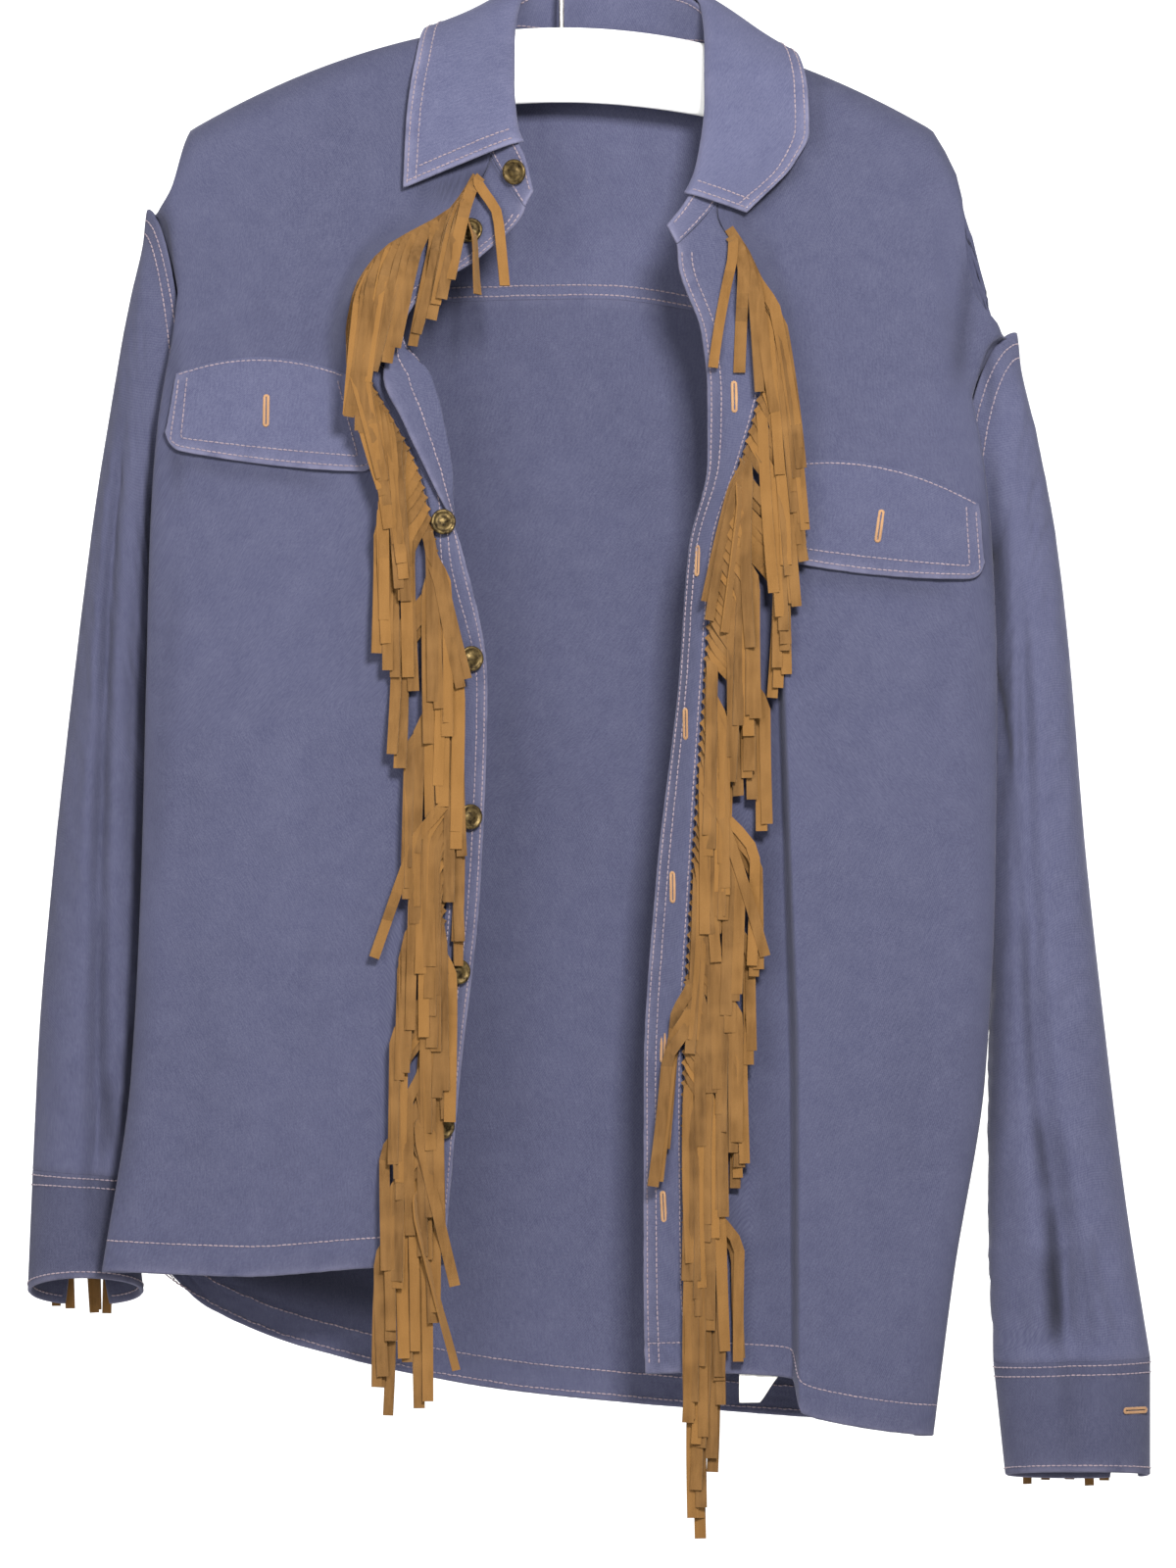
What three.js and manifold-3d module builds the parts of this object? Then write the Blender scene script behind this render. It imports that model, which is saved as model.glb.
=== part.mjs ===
import * as THREE from 'three';
import { mergeVertices } from 'three/addons/utils/BufferGeometryUtils.js';
import Module from 'manifold-3d';

// Fringed denim shirt on a broad shoulder hanger, in millimetres, +Z up.
// The origin is the inside of the hanger's hook. -Y is the shirt's front, +X the wearer's left.
// "down" is a distance below the origin. The shirt hangs open and a little askew: its left side
// has slipped lower and further out than its right one.

const wasm = await Module();
wasm.setup();

// Cloth and seams
const CLOTH = 1.7;
const BAND_CLOTH = 2.2;
const SEAM_GAP = 0.5;
const LIFT = 0.6;
const NORMAL_STEP = 0.002;

// The line along which the cloth rests on the hanger: a shallow arch, highest under the hook
const ARCH_TOP = 79.7;
const ARCH_CURVE = 0.00135;
const ARCH_REACH = 217;
const TOP_ROUNDING = 22;
const TOP_FADE = 60;

// Armholes: outer end on the shoulder, inner end under the arm, bow towards the chest
const ARMHOLE_RIGHT = {
  outerX: -241, outerDown: 194, innerX: -224, innerDown: 343, bow: 13, front: 22, back: 24,
};
const ARMHOLE_LEFT = {
  outerX: 265, outerDown: 266, innerX: 249, innerDown: 378, bow: -22, front: 22, back: 24,
};

// Rows of the walls: round an armhole, below it to the hem, and round the top edge
const ARMHOLE_STEPS = 12;
const BELOW_STEPS = 8;
const FRONT_STEPS = ARMHOLE_STEPS + BELOW_STEPS;
const TOP_STEPS = 3;
const YOKE_STEPS = 5;
const BACK_STEPS = FRONT_STEPS - YOKE_STEPS;

// Where the named lines of a front lie across its width, from the side seam to the open edge
const FRONT_STATIONS = [0, 0.05, 0.09, 0.17, 0.38, 0.56, 0.8, 0.9, 1];
const CORNER_STATION = 0.09;
const SEAM_STATION = 0.8;
const NECK_STATION = 0.66;
const SHOULDER_STATION = 0.17;
const PANEL_STATIONS = [0.05, 0.09, 0.13, 0.17, 0.24, 0.31, 0.38, 0.44, 0.5, 0.57, 0.64, 0.7, 0.75];
const FACE_SHIFT = 13;
const LIP_OUT = 0.12;
const LIP_FORWARD = 0.62;

const FRONT_COLUMNS = [
  'down', 'sideX', 'cornerX', 'cornerY', 'faceY', 'crestX', 'crestY', 'troughX', 'troughY',
  'seamX', 'seamY', 'rollX', 'rollY', 'edgeX', 'edgeY',
];
const FRONT_RIGHT_ROWS = [
  [104, -241, -218, -18, -18, -173, -18, -110, -17, -52, -26, -40, -30, -30, -34],
  [144, -241, -219, -20, -21, -173, -22, -110, -22, -50, -34, -38, -38, -26, -40],
  [190, -241, -221, -24, -25, -173, -27, -116, -27, -62, -44, -42, -48, -24, -50],
  [219, -233, -222, -27, -29, -173, -30, -127, -30, -101, -50, -73, -54, -48, -52],
  [242, -226, -224, -30, -32, -174, -34, -136, -33, -115, -54, -96, -58, -82, -57],
  [267, -221, -227, -33, -36, -176, -37, -141, -36, -119, -57, -94, -58, -96, -63],
  [289, -219, -231, -35, -39, -176, -40, -141, -39, -112, -57, -76, -54, -103, -64],
  [315, -220, -235, -36, -42, -176, -43, -136, -42, -97, -55, -69, -50, -92, -62],
  [349, -224, -238, -36, -44, -176, -46, -130, -45, -81, -53, -64, -48, -76, -58],
  [389, -221, -240, -35, -45, -174, -48, -127, -46, -73, -52, -65, -50, -58, -47],
  [469, -219, -242, -34, -45, -173, -50, -127, -44, -64, -50, -52, -46, -43, -40],
  [583, -221, -245, -33, -43, -172, -49, -130, -42, -67, -48, -56, -44, -47, -38],
  [697, -229, -251, -31, -41, -177, -48, -139, -40, -78, -46, -68, -43, -59, -37],
  [811, -237, -268, -30, -38, -187, -46, -144, -39, -85, -44, -76, -41, -69, -36],
];
const FRONT_LEFT_ROWS = [
  [104, 265, 223, -18, -18, 186, -18, 129, -17, 106, -28, 100, -32, 88, -36],
  [144, 265, 225, -20, -21, 186, -22, 129, -22, 104, -36, 94, -40, 80, -42],
  [194, 265, 229, -24, -26, 186, -28, 129, -28, 93, -46, 80, -50, 66, -52],
  [219, 265, 230, -27, -30, 184, -31, 135, -31, 105, -50, 87, -54, 66, -53],
  [266, 265, 234, -31, -35, 175, -37, 141, -38, 120, -54, 101, -55, 82, -51],
  [298, 242, 239, -33, -38, 164, -41, 138, -42, 115, -55, 100, -54, 85, -48],
  [338, 249, 246, -35, -41, 146, -45, 127, -44, 104, -54, 94, -51, 85, -44],
  [389, 246, 251, -35, -43, 129, -48, 115, -44, 89, -52, 80, -47, 74, -38],
  [469, 236, 254, -34, -44, 131, -54, 125, -38, 83, -50, 74, -45, 68, -36],
  [583, 234, 253, -33, -43, 135, -55, 129, -34, 76, -48, 65, -43, 55, -35],
  [697, 230, 247, -31, -42, 139, -55, 132, -33, 71, -46, 59, -42, 48, -34],
  [811, 215, 229, -29, -40, 139, -54, 133, -33, 72, -44, 60, -40, 48, -33],
  [905, 206, 217, -28, -38, 139, -53, 134, -33, 80, -43, 66, -39, 50, -32],
];

// The tops of the fronts beyond the hanger's ends: station, x, down
const SHOULDER_COLUMNS = ['station', 'x', 'down'];
const SHOULDER_RIGHT_ROWS = [[0, -241, 194], [0.05, -234, 175], [0.1, -226, 158], [0.17, -217, 143.3]];
const SHOULDER_LEFT_ROWS = [
  [0, 265, 266], [0.05, 252, 234], [0.1, 241, 203], [0.14, 233, 170], [0.17, 217, 143.3],
];

// Hems: the lowest line of each front by station, and of the back by its own stations
const HEM_COLUMNS = ['station', 'down'];
const HEM_RIGHT_ROWS = [[0, 811], [0.09, 809], [0.4, 812], [0.8, 806], [1, 806]];
const HEM_LEFT_ROWS = [[0, 906], [0.17, 904], [0.38, 890], [0.56, 872], [0.8, 868], [1, 869]];
const HEM_BACK_ROWS = [
  [0, 811], [0.07, 826], [0.2, 857], [0.33, 873], [0.5, 885], [0.7, 893], [0.85, 899], [1, 906],
];

// Back and yoke: depth behind the hanger at the corners, the quarters and the middle
const BACK_STATIONS = [0, 0.05, 0.25, 0.5, 0.75, 0.95, 1];
const BACK_SHARES = [0, 0.02, 0.25, 0.5, 0.75, 0.98, 1];
const BACK_COLUMNS = ['down', 'cornerY', 'quarterY', 'middleY'];
const BACK_ROWS = [
  [100, 18, 20, 25],
  [150, 20, 24, 30],
  [220, 26, 32, 36],
  [400, 32, 38, 41],
  [600, 32, 40, 43],
  [910, 34, 44, 46],
];
const YOKE_SEAM_ROWS = [[0, 252], [0.25, 244], [0.5, 241], [0.62, 248], [0.8, 274], [1, 315]];
const BACK_NECK_FROM = 0.36;
const BACK_NECK_TO = 0.64;
const BACK_SHOULDER = 0.1;

// Neck seam, from the right front end round the back to the left front end
const NECK_COLUMNS = ['row', 'x', 'y', 'down'];
const NECK_ROWS = [
  [0, -22, -52, 190],
  [1, -31, -49, 177],
  [2, -41, -42, 160],
  [3, -50, -28, 128],
  [4, -51, -14, 100],
  [5, -45, 0, 82.4],
  [6, -25, 14, 84],
  [7, 1, 23, 87],
  [8, 27, 26, 88],
  [9, 54, 24, 90],
  [10, 79, 15, 93],
  [11, 99, 0, 92.9],
  [12, 106, -16, 108],
  [13, 104, -30, 138],
  [14, 91, -46, 186],
  [15, 80, -51, 200],
  [16, 68, -54, 212],
];
// Fold line of the collar, in step with the neck seam's rows
const FOLD_COLUMNS = ['row', 'x', 'y', 'down'];
const FOLD_ROWS = [
  [0, -17, -55, 181],
  [1, -21, -55, 163],
  [2, -28, -49, 146],
  [3, -31, -36, 119],
  [4, -31, -17, 93],
  [5, -27, 0, 70],
  [6, -15, 13, 60],
  [7, 5, 20, 57],
  [8, 27, 22, 56],
  [9, 50, 20, 57],
  [10, 71, 12, 62],
  [11, 84, -1, 74],
  [12, 87, -19, 97],
  [13, 87, -36, 130],
  [14, 80, -50, 172],
  [15, 72, -55, 188],
  [16, 62, -57, 201],
];
const NECK_RIGHT_ROW = 5;
const NECK_LEFT_ROW = 11;
const NECK_LAST_ROW = 16;
const PLACKET_ROWS = 2;

// A smooth curve through a table's values that never overshoots between two rows
function curveThrough(knots, values) {
  const last = knots.length - 1;
  const rise = (k) => (values[k + 1] - values[k]) / (knots[k + 1] - knots[k]);
  const slopes = knots.map((_, k) => {
    if (k === 0) return rise(0);
    if (k === last) return rise(last - 1);
    const before = rise(k - 1);
    const after = rise(k);
    return before * after <= 0 ? 0 : (2 * before * after) / (before + after);
  });
  return (at) => {
    const t = Math.min(Math.max(at, knots[0]), knots[last]);
    let k = 0;
    while (k < last - 1 && t > knots[k + 1]) k += 1;
    const width = knots[k + 1] - knots[k];
    const s = (t - knots[k]) / width;
    const keep = (1 + 2 * s) * (1 - s) * (1 - s);
    const next = s * s * (3 - 2 * s);
    const bend = s * (1 - s) * width;
    return keep * values[k] + next * values[k + 1] + bend * ((1 - s) * slopes[k] - s * slopes[k + 1]);
  };
}

// A table as one curve for each named column, all read by the first column
function table(columns, rows) {
  const knots = rows.map((row) => row[0]);
  const curves = {};
  columns.slice(1).forEach((name, k) => {
    curves[name] = curveThrough(knots, rows.map((row) => row[k + 1]));
  });
  return curves;
}

const lerp = (a, b, t) => a + (b - a) * t;
const clamp = (t) => Math.min(Math.max(t, 0), 1);
const ease = (t) => clamp(t) * clamp(t) * (3 - 2 * clamp(t));
const archDown = (x) => ARCH_TOP + ARCH_CURVE * x * x;
const point = (x, y, down) => new THREE.Vector3(x, y, -down);

const neckTable = table(NECK_COLUMNS, NECK_ROWS);
const foldTable = table(FOLD_COLUMNS, FOLD_ROWS);
const onTable = (lines, row) => point(lines.x(row), lines.y(row), lines.down(row));

// The direction in which the collar stand rises from the neck seam
const standRise = (row) => onTable(foldTable, row).sub(onTable(neckTable, row)).normalize();

// The body's own edge along the neck seam
function neckAt(row) {
  const edge = onTable(neckTable, row).addScaledVector(standRise(row), -SEAM_GAP);
  return { x: edge.x, y: edge.y, down: -edge.z };
}

// One armhole curve; side is 'front' or 'back', share runs from the shoulder to under the arm
function armholeAt(armhole, side, share) {
  const swell = 2 * Math.sqrt(clamp(share) * (1 - clamp(share)));
  const depth = side === 'front' ? -armhole.front : armhole.back;
  return {
    x: lerp(armhole.outerX, armhole.innerX, clamp(share)) + armhole.bow * swell,
    y: depth * swell,
  };
}

// The line where a front or the back meets the sleeve, and below it the side seam
function sideLine(armhole, sideX, side, down) {
  if (down >= armhole.innerDown) return { x: sideX(down), y: 0 };
  return armholeAt(armhole, side, (down - armhole.outerDown) / (armhole.innerDown - armhole.outerDown));
}

// Rows along the side follow the armhole's even turns; rows further in take a few short steps
// round the top edge, and even ones below it
const armholeDown = (armhole, row) => lerp(
  armhole.outerDown, armhole.innerDown, (1 - Math.cos((row / ARMHOLE_STEPS) * Math.PI)) / 2,
);
function innerDown(row, steps, top, end) {
  if (row < TOP_STEPS) return top + TOP_ROUNDING * (1 - Math.cos((row / TOP_STEPS) * (Math.PI / 2)));
  return lerp(top + TOP_ROUNDING, end, (row - TOP_STEPS) / (steps - TOP_STEPS));
}

// How far the cloth has come round from the top edge: none on it, all the way a rounding below
const overTheTop = (drop) => Math.sqrt(1 - (1 - clamp(drop / TOP_ROUNDING)) ** 2);

// A front: its outer surface by station across and by "row" from the top edge to the hem
function makeFront(rows, shoulderRows, hemRows, armhole, neckRidge, neckEnd) {
  const lines = table(FRONT_COLUMNS, rows);
  const shoulder = table(SHOULDER_COLUMNS, shoulderRows);
  const hem = table(HEM_COLUMNS, hemRows).down;
  const inward = Math.sign(-armhole.outerX);
  const neckSeamRow = neckEnd === 0 ? PLACKET_ROWS : neckEnd - PLACKET_ROWS;

  const section = (station, down) => {
    const side = sideLine(armhole, lines.sideX, 'front', down);
    const cornerX = lines.cornerX(down);
    const cornerY = lines.cornerY(down);
    const xs = [
      side.x, lerp(side.x, cornerX, LIP_OUT), cornerX, cornerX + inward * FACE_SHIFT,
      lines.crestX(down), lines.troughX(down),
      lines.seamX(down), lines.rollX(down), lines.edgeX(down),
    ];
    const ys = [
      side.y, lerp(side.y, cornerY, LIP_FORWARD), cornerY, lines.faceY(down),
      lines.crestY(down), lines.troughY(down),
      lines.seamY(down), lines.rollY(down), lines.edgeY(down),
    ];
    return { x: curveThrough(FRONT_STATIONS, xs)(station), y: curveThrough(FRONT_STATIONS, ys)(station) };
  };

  const top = (station) => {
    if (station <= SHOULDER_STATION) {
      return { x: shoulder.x(station), y: 0, down: shoulder.down(station) };
    }
    if (station <= NECK_STATION) {
      const along = (station - SHOULDER_STATION) / (NECK_STATION - SHOULDER_STATION);
      const x = lerp(-inward * ARCH_REACH, neckTable.x(neckRidge), along);
      return { x, y: 0, down: archDown(x) };
    }
    if (station <= SEAM_STATION) {
      const along = (station - NECK_STATION) / (SEAM_STATION - NECK_STATION);
      return neckAt(lerp(neckRidge, neckSeamRow, along));
    }
    return neckAt(lerp(neckSeamRow, neckEnd, (station - SEAM_STATION) / (1 - SEAM_STATION)));
  };

  // The surface at a station and a height, with the top edge's own place faded in
  const at = (station, down) => {
    const start = top(station);
    const here = section(station, down);
    const there = section(station, start.down);
    const fade = 1 - ease((down - start.down) / TOP_FADE);
    const rounding = lerp(1, overTheTop(down - start.down), ease(station / CORNER_STATION));
    return point(
      here.x + (start.x - there.x) * fade,
      start.y + (here.y - start.y) * rounding,
      down,
    );
  };

  // One of a wall's rows, from the top edge to the hem
  const rowPoint = (station, row) => {
    const side = row < ARMHOLE_STEPS
      ? armholeDown(armhole, row)
      : lerp(armhole.innerDown, hem(0), (row - ARMHOLE_STEPS) / BELOW_STEPS);
    const inner = innerDown(row, FRONT_STEPS, top(station).down + SEAM_GAP, hem(station));
    return at(station, lerp(side, inner, ease(station / SHOULDER_STATION)));
  };
  return { at, rowPoint, hem, top, lines };
}

const frontRight = makeFront(
  FRONT_RIGHT_ROWS, SHOULDER_RIGHT_ROWS, HEM_RIGHT_ROWS, ARMHOLE_RIGHT, NECK_RIGHT_ROW, 0,
);
const frontLeft = makeFront(
  FRONT_LEFT_ROWS, SHOULDER_LEFT_ROWS, HEM_LEFT_ROWS, ARMHOLE_LEFT, NECK_LEFT_ROW, NECK_LAST_ROW,
);

// The back's outer surface; it shares the side seams and armholes with the fronts
const backTable = table(BACK_COLUMNS, BACK_ROWS);
const backHem = table(HEM_COLUMNS, HEM_BACK_ROWS).down;
const yokeSeam = table(HEM_COLUMNS, YOKE_SEAM_ROWS).down;
const shoulderRight = table(SHOULDER_COLUMNS, SHOULDER_RIGHT_ROWS);
const shoulderLeft = table(SHOULDER_COLUMNS, SHOULDER_LEFT_ROWS);

function backSection(station, down) {
  const right = sideLine(ARMHOLE_RIGHT, frontRight.lines.sideX, 'back', down);
  const left = sideLine(ARMHOLE_LEFT, frontLeft.lines.sideX, 'back', down);
  const corner = backTable.cornerY(down);
  const quarter = backTable.quarterY(down);
  const ys = [right.y, corner, quarter, backTable.middleY(down), quarter, corner, left.y];
  const share = curveThrough(BACK_STATIONS, BACK_SHARES)(station);
  return { x: lerp(right.x, left.x, share), y: curveThrough(BACK_STATIONS, ys)(station) };
}

function backTop(station) {
  if (station <= BACK_SHOULDER) {
    const along = (station / BACK_SHOULDER) * SHOULDER_STATION;
    return { x: shoulderRight.x(along), y: 0, down: shoulderRight.down(along) };
  }
  if (station >= 1 - BACK_SHOULDER) {
    const along = ((1 - station) / BACK_SHOULDER) * SHOULDER_STATION;
    return { x: shoulderLeft.x(along), y: 0, down: shoulderLeft.down(along) };
  }
  if (station < BACK_NECK_FROM) {
    const along = (station - BACK_SHOULDER) / (BACK_NECK_FROM - BACK_SHOULDER);
    const x = lerp(-ARCH_REACH, neckTable.x(NECK_RIGHT_ROW), along);
    return { x, y: 0, down: archDown(x) };
  }
  if (station > BACK_NECK_TO) {
    const along = (station - BACK_NECK_TO) / (1 - BACK_SHOULDER - BACK_NECK_TO);
    const x = lerp(neckTable.x(NECK_LEFT_ROW), ARCH_REACH, along);
    return { x, y: 0, down: archDown(x) };
  }
  const along = (station - BACK_NECK_FROM) / (BACK_NECK_TO - BACK_NECK_FROM);
  return neckAt(lerp(NECK_RIGHT_ROW, NECK_LEFT_ROW, along));
}

function backAt(station, down) {
  const start = backTop(station);
  const here = backSection(station, down);
  const there = backSection(station, start.down);
  const fade = 1 - ease((down - start.down) / TOP_FADE);
  const edge = Math.min(station, 1 - station);
  const rounding = lerp(1, overTheTop(down - start.down), ease(edge / BACK_STATIONS[1]));
  return point(here.x + (start.x - there.x) * fade, start.y + (here.y - start.y) * rounding, down);
}

// The yoke seam and the rows meet the armholes at one of their even turns
function sideDown(station, row) {
  const armhole = station < 0.5 ? ARMHOLE_RIGHT : ARMHOLE_LEFT;
  if (row <= ARMHOLE_STEPS) return armholeDown(armhole, row);
  return lerp(armhole.innerDown, backHem(Math.round(station)), (row - ARMHOLE_STEPS) / BELOW_STEPS);
}

const towardsMiddle = (station) => ease(Math.min(station, 1 - station) / BACK_SHOULDER);

function yokePoint(station, row) {
  const seam = lerp(sideDown(station, YOKE_STEPS), yokeSeam(station), towardsMiddle(station)) - SEAM_GAP / 2;
  const inner = innerDown(row, YOKE_STEPS, backTop(station).down + SEAM_GAP, seam);
  const side = Math.min(sideDown(station, row), seam);
  return backAt(station, lerp(side, inner, towardsMiddle(station)));
}

function backPoint(station, row) {
  const seam = lerp(sideDown(station, YOKE_STEPS), yokeSeam(station), towardsMiddle(station)) + SEAM_GAP / 2;
  const inner = lerp(seam, backHem(station), row / BACK_STEPS);
  const side = Math.max(sideDown(station, row + YOKE_STEPS), seam);
  return backAt(station, lerp(side, inner, towardsMiddle(station)));
}

// A surface sampled at "across" by "rows": its points, and their normals turned outwards by "side"
function sample(pointOf, across, rows, side) {
  const firstRow = rows[0];
  const lastRow = rows[rows.length - 1];
  const reachAcross = (across[across.length - 1] - across[0]) * NORMAL_STEP;
  const reachDown = (lastRow - firstRow) * NORMAL_STEP;
  const points = across.map((u) => rows.map((v) => pointOf(u, v)));
  const normals = across.map((u) => rows.map((v) => {
    const along = pointOf(u + reachAcross, v).sub(pointOf(u - reachAcross, v));
    const below = pointOf(u, Math.min(v + reachDown, lastRow));
    const above = pointOf(u, Math.max(v - reachDown, firstRow));
    return along.cross(below.sub(above)).setLength(side);
  }));
  return { points, normals };
}

// The closed solid between two layers of points, "outer" and "inner"
function solidBetween(outer, inner, side, closed) {
  const across = outer.length;
  const rows = outer[0].length;
  const vertices = [...outer, ...inner].flatMap((line) => line.flatMap((p) => [p.x, p.y, p.z]));
  const id = (layer, i, j) => (layer * across + (i % across)) * rows + j;
  const triangles = [];
  // split from "a" to "c", or else from "b" to "d"
  const quad = (a, b, c, d, other = false) => {
    const split = other ? [b, c, d, b, d, a] : [a, b, c, a, c, d];
    triangles.push(...(side > 0 ? split.reverse() : split));
  };
  const cells = closed ? across : across - 1;
  for (let i = 0; i < cells; i += 1) {
    const line = outer[i];
    const next = outer[(i + 1) % across];
    for (let j = 0; j < rows - 1; j += 1) {
      const other = line[j + 1].distanceTo(next[j]) < line[j].distanceTo(next[j + 1]);
      quad(id(0, i, j), id(0, i, j + 1), id(0, i + 1, j + 1), id(0, i + 1, j), other);
      quad(id(1, i, j), id(1, i + 1, j), id(1, i + 1, j + 1), id(1, i, j + 1), other);
    }
    quad(id(0, i, 0), id(0, i + 1, 0), id(1, i + 1, 0), id(1, i, 0));
    quad(id(0, i, rows - 1), id(1, i, rows - 1), id(1, i + 1, rows - 1), id(0, i + 1, rows - 1));
  }
  if (!closed) {
    const end = across - 1;
    for (let j = 0; j < rows - 1; j += 1) {
      quad(id(0, 0, j), id(1, 0, j), id(1, 0, j + 1), id(0, 0, j + 1));
      quad(id(0, end, j), id(0, end, j + 1), id(1, end, j + 1), id(1, end, j));
    }
  }
  return meshFrom(vertices, triangles);
}

// A wall of cloth under the surface, "thickness" deep towards its inside
function wall(pointOf, across, rows, thickness, side, closed = false) {
  const { points, normals } = sample(pointOf, across, rows, side);
  const beneath = (p, normal) => p.clone().addScaledVector(normal, -thickness);
  const under = points.map((line, i) => line.map((p, j) => beneath(p, normals[i][j])));
  return solidBetween(points, under, side, closed);
}

// The room that a wall needs: the wall grown by "by" on its faces and past its borders
function room(pointOf, across, rows, thickness, side, by) {
  const { points, normals } = sample(pointOf, across, rows, side);
  const last = points.length - 1;
  const end = points[0].length - 1;
  const past = (from, to) => to.clone().sub(from).setLength(by);
  const layer = (depth) => points.map((line, i) => line.map((p, j) => {
    const q = p.clone().addScaledVector(normals[i][j], depth);
    if (i === 0) q.add(past(points[1][j], p));
    if (i === last) q.add(past(points[last - 1][j], p));
    if (j === 0) q.add(past(line[1], p));
    if (j === end) q.add(past(line[end - 1], p));
    return q;
  }));
  return solidBetween(layer(by), layer(-thickness - by), side, false);
}

function meshFrom(vertices, triangles) {
  const geometry = new THREE.BufferGeometry();
  geometry.setAttribute('position', new THREE.Float32BufferAttribute(vertices, 3));
  geometry.setIndex(triangles);
  return geometry;
}

// Shared corners merged, so that a piece is one closed solid
function welded(geometry) {
  const plain = geometry.clone();
  plain.deleteAttribute('normal');
  plain.deleteAttribute('uv');
  return mergeVertices(plain, 1e-4);
}

function solidFrom(geometry) {
  const vertProperties = new Float32Array(geometry.getAttribute('position').array);
  const triVerts = new Uint32Array(geometry.index.array);
  return new wasm.Manifold(new wasm.Mesh({ numProp: 3, vertProperties, triVerts }));
}

// A piece less the room that its neighbours need
function cut(geometry, neighbours) {
  let solid = solidFrom(geometry);
  neighbours.forEach((neighbour) => {
    solid = solid.subtract(solidFrom(neighbour));
  });
  const result = solid.getMesh();
  return meshFrom(Array.from(result.vertProperties), Array.from(result.triVerts));
}

const group = new THREE.Group();
function addPiece(name, geometry, look) {
  const mesh = new THREE.Mesh(geometry, new THREE.MeshStandardMaterial(look));
  mesh.name = name;
  group.add(mesh);
  return mesh;
}

const DENIM = { color: 0x2c3058, roughness: 0.9, metalness: 0 };

const stations = (from, to, count) => shares(count).map((share) => lerp(from, to, share));
const shares = (count) => Array.from({ length: count + 1 }, (_, k) => k / count);
const counts = (count) => Array.from({ length: count + 1 }, (_, k) => k);

// Collar: the stand rises from the neck seam to the fold, the leaf falls from it to its edge
const LEAF_ROWS = [
  [1.5, -92, -37, 178],
  [2.8, -90, -32, 138],
  [3.9, -85, -23, 104],
  [5, -79, 0, 83],
  [6, -60, 26, 84],
  [7, -20, 37, 100],
  [8, 27, 44, 110],
  [9, 72, 40, 106],
  [10, 114, 26, 96],
  [11, 136, -3, 97],
  [12, 143, -25, 119],
  [13, 144, -30, 145],
  [14, 135, -34, 165],
  [14.8, 108, -46, 193],
];
const LEAF_BOW = 4;
const LEAF_RISE = 4.2;
const STAND_REACH = 0.94;
const leafTable = table(FOLD_COLUMNS, LEAF_ROWS);

function standPoint(row, up) {
  const low = onTable(neckTable, row).addScaledVector(standRise(row), SEAM_GAP);
  return low.lerp(onTable(foldTable, row), up * STAND_REACH);
}

function leafPoint(row, out) {
  const fold = onTable(foldTable, row);
  fold.addScaledVector(standRise(row), LEAF_RISE);
  const edge = onTable(leafTable, row);
  const along = new THREE.Vector3().subVectors(onTable(foldTable, row + 0.1), onTable(foldTable, row - 0.1));
  const bow = along.cross(new THREE.Vector3().subVectors(edge, fold)).normalize();
  return fold.lerp(edge, out).addScaledVector(bow, LEAF_BOW * Math.sin(Math.PI * Math.sqrt(out)));
}

const NECK_CLEARANCE = 0.35;
const STAND_STEPS = 24;
const LEAF_STEPS = 24;
const standRows = stations(0, NECK_LAST_ROW, STAND_STEPS);
const leafRows = stations(LEAF_ROWS[0][0], LEAF_ROWS[LEAF_ROWS.length - 1][0], LEAF_STEPS);
const standRoom = room(standPoint, standRows, shares(2), BAND_CLOTH, -1, NECK_CLEARANCE);
addPiece('collar_stand', wall(standPoint, standRows, shares(2), BAND_CLOTH, -1), DENIM);
addPiece('collar_leaf', wall(leafPoint, leafRows, shares(4), BAND_CLOTH, 1), DENIM);

const SIDE_INSET = 0.0026;
const BACK_INSET = 0.0013;
const PLACKET_INSET = 0.0022;
const frontRows = counts(FRONT_STEPS);
const panelStations = [SIDE_INSET, ...PANEL_STATIONS, SEAM_STATION - PLACKET_INSET];
const rightPanel = wall(frontRight.rowPoint, panelStations, frontRows, CLOTH, -1);
const leftPanel = wall(frontLeft.rowPoint, panelStations, frontRows, CLOTH, 1);
addPiece('front_right', cut(rightPanel, [standRoom]), DENIM);
addPiece('front_left', cut(leftPanel, [standRoom]), DENIM);
const bandStations = stations(SEAM_STATION + PLACKET_INSET, 1, 3);
addPiece('placket_right', wall(frontRight.rowPoint, bandStations, frontRows, BAND_CLOTH, -1), DENIM);
addPiece('placket_left', wall(frontLeft.rowPoint, bandStations, frontRows, BAND_CLOTH, 1), DENIM);

const innerStations = [0.025, 0.05, 0.1, 0.18, 0.27, 0.36, 0.43];
const backStations = [
  BACK_INSET, ...innerStations, 0.5, ...innerStations.map((station) => 1 - station).reverse(), 1 - BACK_INSET,
];
const yokeWall = wall(yokePoint, backStations, counts(YOKE_STEPS), CLOTH, 1);
addPiece('yoke', cut(yokeWall, [standRoom]), DENIM);
addPiece('back', wall(backPoint, backStations, counts(BACK_STEPS), CLOTH, 1), DENIM);

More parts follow.
